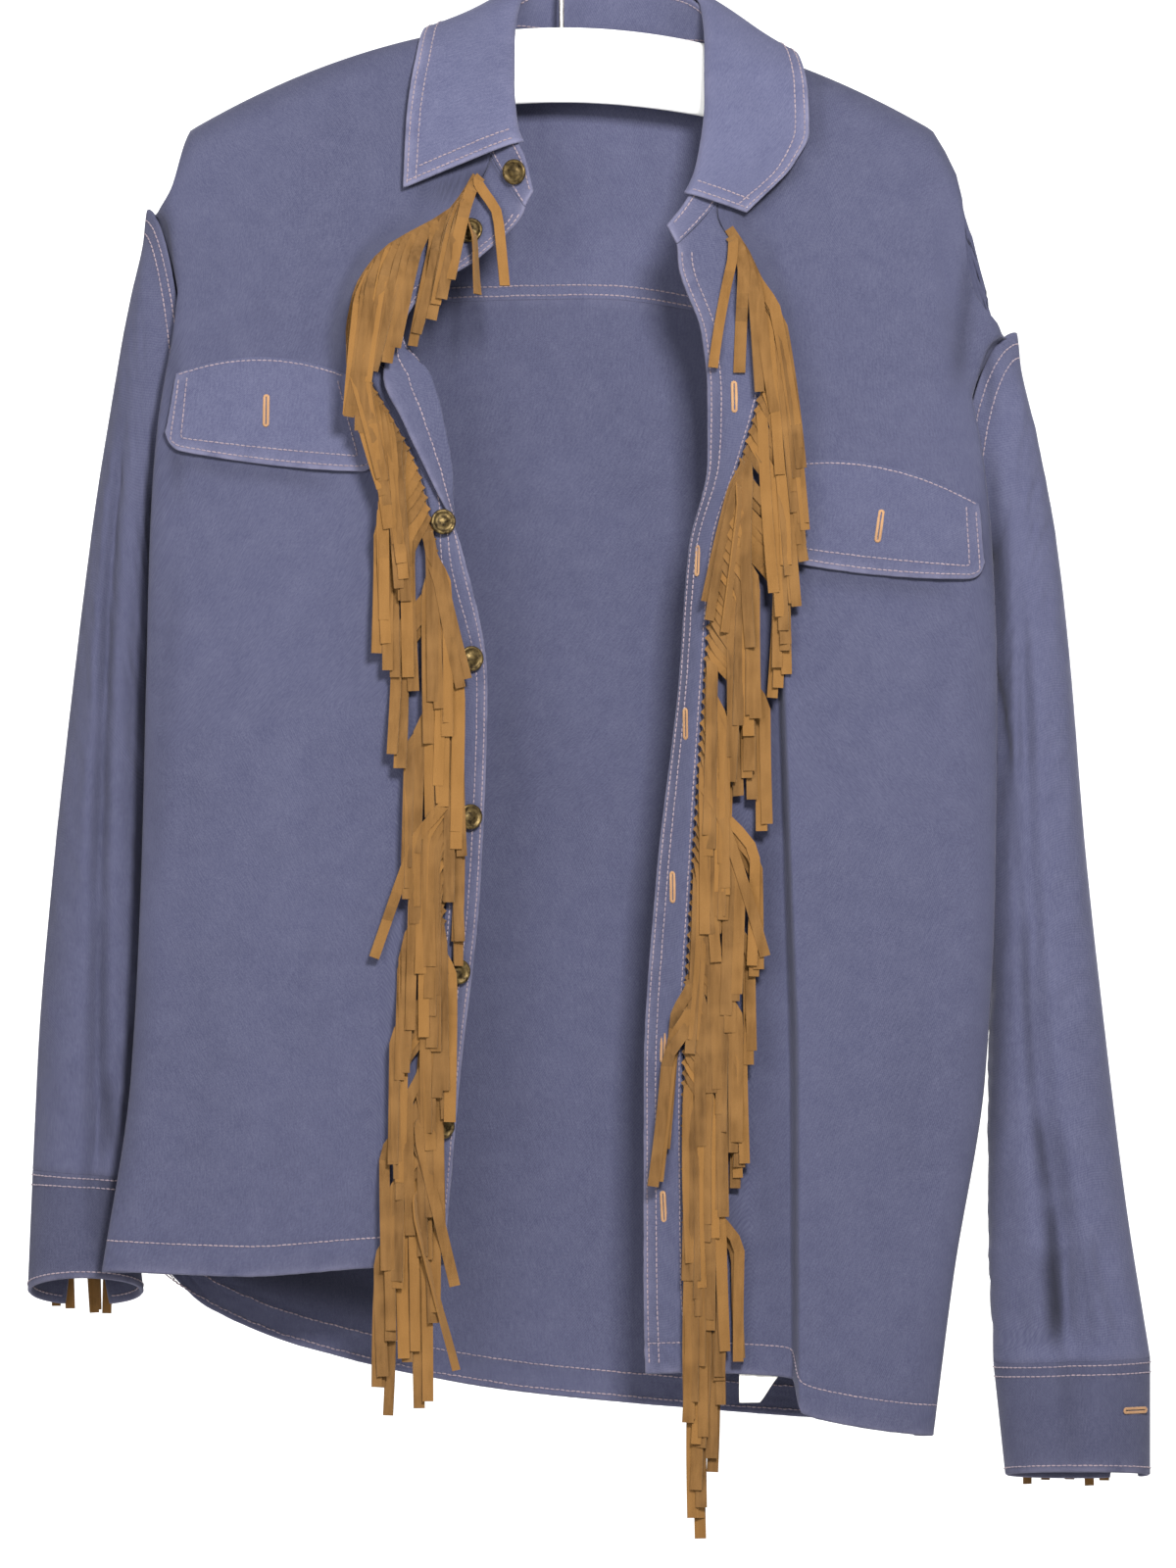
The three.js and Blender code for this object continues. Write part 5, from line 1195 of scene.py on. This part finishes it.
# collar: two rows round the leaf, one round the stand
leaf_lines = []
rows = np.linspace(LEAF_ROWS[0][0] + 0.02, LEAF_ROWS[-1][0] - 0.02, 260)
width = np.linalg.norm(leaf_point(rows, np.ones(260)) - leaf_point(rows, np.zeros(260)), axis=-1)
for inset in (EDGE_ROW, INNER_ROW):
    leaf_lines.append(line_on(leaf_point, rows, 1 - inset / width, 1, 0.12, (1e-2, 1e-3)))
    outs = np.linspace(0.06, 1 - inset / 66, 60)
    for end, turn in ((LEAF_ROWS[0][0], 1), (LEAF_ROWS[-1][0], -1)):
        here = np.full(60, float(end))
        pace = np.linalg.norm(leaf_point(here + turn * 0.05, outs) - leaf_point(here, outs), axis=-1) / 0.05
        along_end = here + turn * inset / np.maximum(pace, 6)
        leaf_lines.append(line_on(leaf_point, along_end, outs, 1, 0.12, (1e-2, 1e-3)))
stitches("stitches_collar_leaf", leaf_lines, 104)
rows = np.linspace(0.08, NECK_LAST_ROW - 0.08, 300)
stand_lines = [
    line_on(stand_point, rows, np.full(300, up), side, lift, (1e-2, 1e-2))
    for up in (0.1, 0.88) for side, lift in ((-1, 0.12), (1, BAND_CLOTH + 0.12))
]
stitches("stitches_collar_stand", stand_lines, 105)

for label, sleeve, cuff, side, seed in (
    ("right", sleeve_right, cuff_right, -1, 106), ("left", sleeve_left, cuff_left, 1, 107),
):
    lines = []
    turn = np.linspace(0.001, 2 * math.pi - 0.001, 220)
    for share in (0.009, 0.019):
        lines.append(line_on(
            lambda a, s, z=sleeve: z.at(s, a), turn, np.full(220, share), side, 0.12, (1e-3, 1e-3),
        ))
    turn = np.linspace(0.01, 0.99, 220)
    for fall in (0.035, 0.12, 0.95):
        lines.append(line_on(cuff, turn, np.full(220, fall), side, 0.12, (1e-3, 1e-3)))
    lines.append(line_on(cuff, turn, np.full(220, 0.95), -side, BAND_CLOTH + 0.12, (1e-3, 1e-3)))
    fall = np.linspace(0.05, 0.95, 30)
    for edge in (0.012, 0.988):
        lines.append(line_on(cuff, np.full(30, edge), fall, side, 0.12, (1e-3, 1e-3)))
    stitches(f"stitches_sleeve_{label}", lines, seed)

for label, flap, plan, seed in (("right", flap_right, FLAP_RIGHT, 108), ("left", flap_left, FLAP_LEFT, 109)):
    lines = []
    across = np.linspace(0.01, 0.99, 120)
    lines.append(line_on(flap, across, np.full(120, 0.03), -1, 0.12, (2e-3, 1e-2)))
    for inset in (EDGE_ROW, INNER_ROW):
        low = 1 - inset / 56
        side_in = inset / 124
        corner = np.linspace(0, 1, 40)
        path_u = np.concatenate([
            np.full(30, side_in), np.linspace(side_in, 1 - side_in, 120), np.full(30, 1 - side_in),
        ])
        path_v = np.concatenate([
            np.linspace(0.1, low - 0.02, 30), np.full(120, low), np.linspace(low - 0.02, 0.1, 30),
        ])
        lines.append(line_on(flap, path_u, path_v, -1, 0.12, (2e-3, 1e-2)))
    stitches(f"stitches_flap_{label}", lines, seed)

# ---------------------------------------------------------------- buttonholes


def buttonhole(name, centre, along, normal, length, width=2.2):
    """A closed ring of dense cross threads round a slit."""
    along = unit(along - normal * np.dot(along, normal))
    beside = np.cross(normal, along)
    count = 96
    straight = length - width
    turns = np.linspace(0, 1, count, endpoint=False)
    path = []
    for t in turns:
        perimeter = 2 * straight + math.pi * width
        s = t * perimeter
        if s < straight:
            path.append((s - straight / 2, width / 2))
        elif s < straight + math.pi * width / 2:
            a = (s - straight) / (width / 2)
            path.append((straight / 2 + width / 2 * math.sin(a), width / 2 * math.cos(a)))
        elif s < 2 * straight + math.pi * width / 2:
            path.append((straight / 2 - (s - straight - math.pi * width / 2), -width / 2))
        else:
            a = (s - 2 * straight - math.pi * width / 2) / (width / 2)
            path.append((-straight / 2 - width / 2 * math.sin(a), -width / 2 * math.cos(a)))
    path = np.array(path)
    tangent = np.roll(path, -1, axis=0) - np.roll(path, 1, axis=0)
    tangent /= np.linalg.norm(tangent, axis=1, keepdims=True)
    outward = np.stack([tangent[:, 1], -tangent[:, 0]], axis=1)
    vertices = []
    sides = 6
    for k in range(count):
        swell = 1.0 if k % 2 else 0.78
        for side in range(sides):
            a = 2 * math.pi * side / sides
            reach = path[k] + outward[k] * 1.0 * math.cos(a) * swell
            height = 0.42 * math.sin(a) * swell + 0.1
            vertices.append(centre + along * reach[0] + beside * reach[1] + normal * height)
    faces = [
        (
            k * sides + a, ((k + 1) % count) * sides + a,
            ((k + 1) % count) * sides + (a + 1) % sides, k * sides + (a + 1) % sides,
        )
        for k in range(count) for a in range(sides)
    ]
    piece = make_object(name, vertices, faces, ORANGE)
    return piece


def on_front(front, side, station, down):
    points, normals = line_on(front.at, [station], [down], side, 0.15, (1e-3, 0.5))
    return points[0], normals[0]


# each buttonhole: down, station
BUTTONHOLE_ROWS = [[301, 0.895], [396, 0.9], [491, 0.9], [586, 0.9], [679, 0.9], [772, 0.9]]
for k, (down, station) in enumerate(BUTTONHOLE_ROWS):
    centre, normal = on_front(front_left, 1, station, float(down))
    buttonhole(f"buttonhole_{k + 1}", centre, np.array([0.02, 0, -1.0]), normal, 17)
for label, flap, place, lean in (
    ("right", flap_right, (0.50, 0.50), 0.0), ("left", flap_left, (0.51, 0.56), 0.14),
):
    points, normals = line_on(flap, [place[0]], [place[1]], -1, 0.15, (2e-3, 1e-2))
    buttonhole(f"buttonhole_flap_{label}", points[0], np.array([-lean, 0, -1.0]), normals[0], 18)
points, normals = line_on(cuff_left, [0.214], [0.45], 1, 0.15, (1e-3, 1e-3))
buttonhole("buttonhole_cuff_left", points[0], np.array([1.0, 0, 0]), normals[0], 17)

# ---------------------------------------------------------------- fringes
STRAND_PITCH = 6.2
STRAND_THICK = 1.1
STRAND_ROOT = 3.2
LANES = 6
LANE_PITCH = 5.8
PILE_STEP = 2.0
PILE_DEPTH = 9.0
FRINGE_COLUMNS = ["down", "lean", "length", "spread"]
FRINGE_RIGHT_ROWS = [
    [172, 0.20, 62, 0.1], [190, 0.22, 66, 0.1], [205, 0.22, 76, 0.1], [219, 0.15, 86, 0.15],
    [242, -0.08, 92, 0.2], [257, -0.22, 92, 0.15], [275, -0.26, 84, 0.15], [300, -0.14, 88, 0.25],
    [322, -0.04, 94, 0.45], [350, 0, 106, 1], [730, 0, 104, 1], [797, 0, 94, 0.8],
]
FRINGE_LEFT_ROWS = [
    [203, -0.30, 74, 0.1], [209, -0.2, 78, 0.1], [215, 0.02, 80, 0.3], [224, 0.14, 84, 0.4],
    [236, 0.16, 98, 0.4], [255, 0.10, 104, 0.3], [266, 0.1, 106, 0.25], [290, 0.1, 108, 0.3],
    [320, 0.06, 108, 0.6], [350, 0, 108, 1], [750, 0, 106, 1], [800, 0, 98, 0.45], [859, 0, 98, 0.3],
]
# each stray strand: down, lane, lean, length, yaw
STRAYS_RIGHT = [
    [537, 8, 0.36, 92, 0.1], [389, -3, -0.24, 78, 0.0], [396, -2, -0.20, 76, 0.1], [722, 2, -0.24, 98, 0.3],
    [765, 2, -0.26, 104, 1.2], [173, -10, -0.10, 66, 0.2], [188, -9, -0.02, 56, 1.3],
]
STRAYS_LEFT = [
    [526, 4, 0.32, 102, 0.1], [338, -4, -0.24, 84, 0.9], [345, -2, -0.20, 88, 0.7], [350, 2, -0.12, 90, 1.0],
    [640, -8, -0.08, 100, 0.2], [655, -9, -0.10, 104, 0.0], [662, -12, -0.10, 100, 0.1],
]


def ribbon_mesh(name, ribbons, material):
    """Flat strands, each from its line of centres, its width, and its turn about its own line."""
    vertices, faces, tones, painted_shade_ends = [], [], [], []
    for centres, width, thickness, yaw, tone in ribbons:
        base = len(vertices)
        count = len(centres)
        along = unit(np.gradient(centres, axis=0))
        for k in range(count):
            ahead = np.array([math.sin(yaw[k]), -math.cos(yaw[k]), 0.0])
            beside = unit(np.cross(ahead, along[k]))
            facing = np.cross(along[k], beside)
            for a, b in ((-1, -1), (1, -1), (1, 1), (-1, 1)):
                vertices.append(centres[k] + beside * a * width[k] / 2 + facing * b * thickness / 2)
                tones.append(tone)
                painted_shade_ends.append(0.0)
        for k in range(count - 1):
            for side in range(4):
                after = (side + 1) % 4
                here = base + 4 * k
                faces.append((here + side, here + after, here + 4 + after, here + 4 + side))
        faces.append((base, base + 3, base + 2, base + 1))
        # the cut end's own points, marked for painted shade, so the shader paints the end nearly black
        tip = len(vertices)
        for k in range(4):
            vertices.append(vertices[base + 4 * (count - 1) + k])
            tones.append(tone)
            painted_shade_ends.append(1.0)
        faces.append((tip, tip + 1, tip + 2, tip + 3))
    piece = make_object(name, vertices, faces, material, {"tone": tones, "end": painted_shade_ends})
    piece.data.polygons.foreach_set("use_smooth", np.zeros(len(piece.data.polygons), bool))
    return piece


def front_fringe(front, outward, rows, first, strays, seed):
    """Strands from a strip beside the band's seam, laid from the lowest root up, each one over
    those that it crosses."""
    rng = np.random.default_rng(seed)
    plan = table(FRINGE_COLUMNS, rows)
    top, bottom = rows[0][0], rows[-1][0]
    roots = [top]
    while roots[-1] < bottom:
        here = front.at(np.full(2, SEAM_STATION), np.array([roots[-1], roots[-1] + 1.0]))
        roots.append(roots[-1] + STRAND_PITCH / np.linalg.norm(here[1] - here[0]))
    heights = np.arange(top - 30, bottom + 160, 6.0)
    clamped = np.maximum(heights, top)
    near = [front.at(np.full(len(heights), s), clamped)[:, 1] for s in (0.74, 0.8, 0.9, 1.0)]
    least = np.minimum.reduce(near)
    window = np.array([least[max(0, k - 4): k + 5].min() for k in range(len(least))])

    strands = []
    order, left = [], 0
    for root in roots[1:]:
        if left == 0:
            order = order or list(rng.permutation(LANES))
            lane = order.pop()
            left = int(rng.integers(1, 4))
        left -= 1
        place = (first + lane * LANE_PITCH) * float(plan["spread"](root)) + rng.normal(0, 0.8)
        lean = float(plan["lean"](root)) + rng.normal(0, 0.018)
        length = float(plan["length"](root)) + rng.uniform(-7, 4)
        strands.append((root, place, lean, length, rng.normal(0, 0.14)))
    strands = strands[::-1] + [tuple(row) for row in strays]

    pile = np.zeros((int((bottom + 180 - top) / PILE_STEP), 240))
    ribbons = []
    for root, place, lean, length, yaw in strands:
        seam = front.at(np.array([SEAM_STATION]), np.array([float(root)]))[0]
        drop = np.arange(0, length, PILE_STEP)
        across = 0.6 + (STRAND_ROOT - 0.6) * ease((drop + 1) / 4) + place * ease(drop / (14 + abs(place)))
        across = across + lean * drop + rng.normal(0, 0.7) * np.sin(math.pi * drop / length)
        x = seam[0] + outward * across
        down = root + drop
        row = np.clip(((down - top) / PILE_STEP).astype(int), 0, len(pile) - 1)
        cells = np.clip(np.round(outward * x).astype(int)[:, None] + np.arange(-3, 4), 0, 239)
        under = pile[row[:, None], cells].max(axis=1)
        padded = np.pad(under, 3, mode="edge")
        rise = np.array([padded[k: k + 7].max() for k in range(len(under))])
        rise = np.convolve(np.pad(rise, 3, mode="edge"), np.full(7, 1 / 7), mode="valid")
        rise = np.maximum(rise, under) * ease((drop + 3) / 8)
        rise = rise + 1.5 * ease((drop - length + 16) / 16)
        covered = (rise + STRAND_THICK + 0.12)[:, None]
        pile[row[:, None], cells] = np.maximum(pile[row[:, None], cells], covered)
        surface = np.minimum(np.interp(down, heights, window), seam[1] + 1)
        proud = PILE_DEPTH * (1 - np.exp(-rise / PILE_DEPTH))
        y = lerp(seam[1] - 0.6, surface, ease((drop - 4) / 20)) - 1.2 - proud
        keep = np.unique(np.concatenate([[0, 1, 2, 3, 5, 7], np.arange(10, len(drop), 4), [len(drop) - 1]]))
        count = len(keep)
        turned = yaw + rng.normal(0, 0.2) * (drop[keep] / length) ** 2
        ribbons.append((
            point(x, y, down)[keep], np.full(count, rng.uniform(5.8, 7.0)), STRAND_THICK, turned,
            rng.uniform(0, 1) ** 1.6,
        ))
    down = np.linspace(top, bottom, 90)
    seam = front.at(np.full(90, SEAM_STATION), down)
    strip_x = seam[:, 0] + outward * 3.6
    strip = point(strip_x, np.minimum(front.depth(strip_x, down), seam[:, 1] + 1.5) - 0.8, down)
    ribbons.append((strip, np.full(90, 5.6), 1.0, np.zeros(90), 0.1))
    return ribbons


for label, front, outward, rows, first, strays, seed in (
    ("right", front_right, -1, FRINGE_RIGHT_ROWS, -8, STRAYS_RIGHT, 201),
    ("left", front_left, 1, FRINGE_LEFT_ROWS, 1, STRAYS_LEFT, 202),
):
    strands = front_fringe(front, outward, rows, first, strays, seed)
    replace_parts(ribbon_mesh(f"fringe_{label}_strands", strands, SUEDE), f"fringe_{label}")

SLEEVE_FRINGE_RIGHT = dict(
    fromTurn=1.72 * math.pi, toTurn=1.3 * math.pi, strands=7, share=0.972, rise=0.012, length=92, vary=6,
)
SLEEVE_FRINGE_LEFT = dict(
    fromTurn=1.3 * math.pi, toTurn=1.76 * math.pi, strands=9, share=0.972, rise=0.012, length=88, vary=6,
)
for label, sleeve, plan, seed in (
    ("right", sleeve_right, SLEEVE_FRINGE_RIGHT, 203), ("left", sleeve_left, SLEEVE_FRINGE_LEFT, 204),
):
    rng = np.random.default_rng(seed)
    ribbons = []
    turns = np.linspace(plan["fromTurn"], plan["toTurn"], plan["strands"] + 1)
    for k in range(plan["strands"]):
        turn = (turns[k] + turns[k + 1]) / 2
        root = sleeve.at(np.array([plan["share"]]), np.array([turn]))[0]
        length = plan["length"] + rng.uniform(-plan["vary"], plan["vary"])
        drop = np.linspace(-5, length, 13)
        x = root[0] + rng.normal(0, 0.03) * np.clip(drop, 0, None)
        y = root[1] + 1.6 + 3.4 * ease(drop / 30) + 0.03 * np.clip(drop, 0, None)
        yaw = np.full(13, rng.normal(0, 0.2))
        ribbons.append((
            point(x, y, -root[2] + drop), np.full(13, rng.uniform(5, 5.8)), 1.2, yaw, rng.uniform(0, 0.6),
        ))
    line = np.linspace(plan["fromTurn"], plan["toTurn"], 30)
    strip = sleeve.at(np.full(30, plan["share"] - plan["rise"] / 2), line)
    strip[:, 1] += 1.2
    piece = ribbon_mesh(f"sleeve_fringe_{label}_strands", ribbons, SUEDE)
    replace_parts(piece, f"sleeve_fringe_{label}")

# ---------------------------------------------------------------- buttons, label, hanger


def lathe(profile, sides=40):
    vertices = [(0.0, 0.0, profile[0][1])]
    for radius, height in profile[1:-1]:
        vertices += [
            (radius * math.cos(2 * math.pi * k / sides), radius * math.sin(2 * math.pi * k / sides), height)
            for k in range(sides)
        ]
    vertices.append((0.0, 0.0, profile[-1][1]))
    rings = len(profile) - 2
    faces = [(0, 1 + (k + 1) % sides, 1 + k) for k in range(sides)]
    for ring in range(rings - 1):
        low = 1 + ring * sides
        faces += [
            (low + k, low + (k + 1) % sides, low + sides + (k + 1) % sides, low + sides + k)
            for k in range(sides)
        ]
    last = 1 + (rings - 1) * sides
    faces += [(last + k, last + (k + 1) % sides, len(vertices) - 1) for k in range(sides)]
    return np.array(vertices), faces


BUTTON_ROWS = [[205, 0.89], [271, 0.84], [374, 0.84], [453, 0.9], [545, 0.9], [635, 0.9], [725, 0.9]]


def button_piece(name, centre, normal, shank):
    top = shank + 1.9
    profile = [
        (0, 0), (2.4, 0), (2.4, shank), (6.6, shank), (7.2, shank + 0.2), (7.45, shank + 0.8), (7.3, top - 0.4),
        (6.8, top - 0.05), (6.2, top), (5.6, top - 0.15), (5.2, top - 0.6), (4.6, top - 0.75), (3.2, top - 0.7),
        (2.6, top - 0.3), (1.6, top - 0.1), (0, top),
    ]
    vertices, faces = lathe(profile)
    beside = unit(np.cross(normal, np.array([0, 0.1, 1.0])))
    third = np.cross(normal, beside)
    place = centre + normal * 0.35
    points = place + vertices[:, :1] * beside + vertices[:, 1:2] * third + vertices[:, 2:] * normal
    piece = make_object(f"{name}_turned", points, faces, BRASS)
    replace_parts(piece, name)


for k, (down, station) in enumerate(BUTTON_ROWS):
    points, normals = line_on(front_right.at, [station], [float(down)], -1, 0.0, (2e-3, 2e-3))
    button_piece(f"button_{k + 1}", points[0], normals[0], 3.4 if k == 2 else 1.8)
points, normals = line_on(stand_point, [1.0], [0.5], -1, 0.0, (2e-3, 2e-3))
button_piece("button_collar", points[0], normals[0], 1.8)


def label_surface(across, fall):
    x = lerp(104, 126, across)
    down = lerp(851, 886 - 15 * np.clip((across - 0.55) / 0.45, 0, 1), fall)
    hung = np.minimum(down, front_left.hem(SEAM_STATION) - 2)
    return point(x, front_left.depth(x, hung) + CLOTH + 0.8, down)


grid = surface_grid(label_surface, np.linspace(0, 1, 16), np.linspace(0, 1, 22))
label = cloth_shell("label_cloth", grid, 1.0, -1, material=LABEL_CLOTH)
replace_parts(label, "label")

HANGER = dict(clear=3.6, height=44, endHeight=25, half=6.5, endHalf=15)


def hanger_point(reach, turn):
    x = reach * ARCH_REACH * 0.985
    height = lerp(HANGER["height"], HANGER["endHeight"], np.abs(reach) ** 3)
    tip = np.sqrt(np.clip(1 - (np.clip(np.abs(reach) - 0.95, 0, 1) / 0.0505) ** 2, 0.05, 1))
    half = lerp(HANGER["half"], HANGER["endHalf"], reach**2) * tip
    middle = arch_down(x) + HANGER["clear"] + height / 2
    rounded = lambda value: np.sign(value) * np.abs(value) ** 0.7
    return point(x, half * rounded(np.sin(turn)), middle - height * tip / 2 * rounded(np.cos(turn)))


reaches = joined((-1, -0.95, 8), (-0.95, 0.95, 90), (0.95, 1, 8))
turns = np.linspace(0, 2 * math.pi, 41)[:-1]
bar = surface_grid(hanger_point, reaches, turns)
count, around = bar.shape[:2]
index = np.arange(count * around).reshape(count, around)
following = np.roll(index, -1, axis=1)
quads = np.stack([index[:-1], following[:-1], following[1:], index[1:]], axis=-1).reshape(-1, 4)
hanger = make_object(
    "hanger_bar", bar.reshape(-1, 3),
    list(map(tuple, quads.tolist())) + [tuple(index[0][::-1]), tuple(index[-1])], WHITE,
)
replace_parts(hanger, "hanger")

HOOK = dict(wire=1.6, radius=22, stem=52, depth=9)
middle = HOOK["radius"] + HOOK["wire"]
line = [(0, ARCH_TOP + HANGER["clear"] + HOOK["depth"]), (0, ARCH_TOP - 8), (0, HOOK["stem"] + 4)]
line += [
    (middle * math.cos(math.radians(a)), HOOK["radius"] - middle * math.sin(math.radians(a)))
    for a in range(-60, 201, 10)
]
curve = bpy.data.curves.new("hook_wire_line", "CURVE")
curve.dimensions = "3D"
curve.bevel_depth = HOOK["wire"] * 0.001
curve.bevel_resolution = 6
curve.resolution_u = 8
curve.use_fill_caps = True
spline = curve.splines.new("NURBS")
spline.points.add(len(line) - 1)
for spot, (x, down) in zip(spline.points, line):
    spot.co = (x * 0.001, 0, -down * 0.001, 1)
spline.use_endpoint_u = True
spline.order_u = 3
curve.materials.append(STEEL)
hook = bpy.data.objects.new("hook_wire_piece", curve)
bpy.context.scene.collection.objects.link(hook)
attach(hook, "root")
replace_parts(hook, "hook")

# ---------------------------------------------------------------- stage and light


def stage_plane(name, corners, base, glow):
    mesh = bpy.data.meshes.new(name)
    mesh.from_pydata(corners, [], [(0, 1, 2, 3)])
    plane = bpy.data.objects.new(name, mesh)
    shader = Shader(name)
    shader.set(Roughness=0.9, Specular_IOR_Level=0.1, Emission_Strength=glow)
    shader.bsdf.inputs["Base Color"].default_value = (*base, 1)
    shader.bsdf.inputs["Emission Color"].default_value = (1, 1, 1, 1)
    mesh.materials.append(shader.material)
    bpy.context.scene.collection.objects.link(plane)


FLOOR = -2.0
WALL = 8.5
ground = [(-6, -6, FLOOR), (6, -6, FLOOR), (6, WALL, FLOOR), (-6, WALL, FLOOR)]
stage_plane("floor", ground, (0.86, 0.86, 0.85), 0.0)
behind = [(-3, WALL, FLOOR), (3, WALL, FLOOR), (3, WALL, 2.5), (-3, WALL, 2.5)]
stage_plane("backdrop", behind, (0.5, 0.5, 0.5), 1.0)

world = bpy.data.worlds.new("studio")
world.use_nodes = True
world.node_tree.nodes["Background"].inputs["Color"].default_value = (1.0, 1.0, 1.0, 1)
world.node_tree.nodes["Background"].inputs["Strength"].default_value = 0.4
bpy.context.scene.world = world


def area_light(name, place, aim, size, power):
    light = bpy.data.lights.new(name, "AREA")
    light.shape = "SQUARE"
    light.size = size
    light.energy = power
    lamp = bpy.data.objects.new(name, light)
    lamp.location = place
    direction = np.array(aim, float) - np.array(place, float)
    lamp.rotation_euler = (
        math.acos(-direction[2] / np.linalg.norm(direction)), 0,
        math.atan2(direction[1], direction[0]) - math.pi / 2,
    )
    bpy.context.scene.collection.objects.link(lamp)


area_light("key", (0.4, -2.1, 0.45), (0, 0, -0.4), 0.4, 104)
area_light("fill", (-1.2, -3.0, 0.0), (0, 0, -0.5), 1.6, 70)
area_light("rear", (-0.6, 3.2, 0.4), (0, 0, -0.5), 1.6, 110)
area_light("side_right", (-3.2, 0.5, 0.3), (0, 0, -0.5), 1.6, 26)
area_light("side_left", (3.2, 0.5, 0.3), (0, 0, -0.5), 1.6, 26)
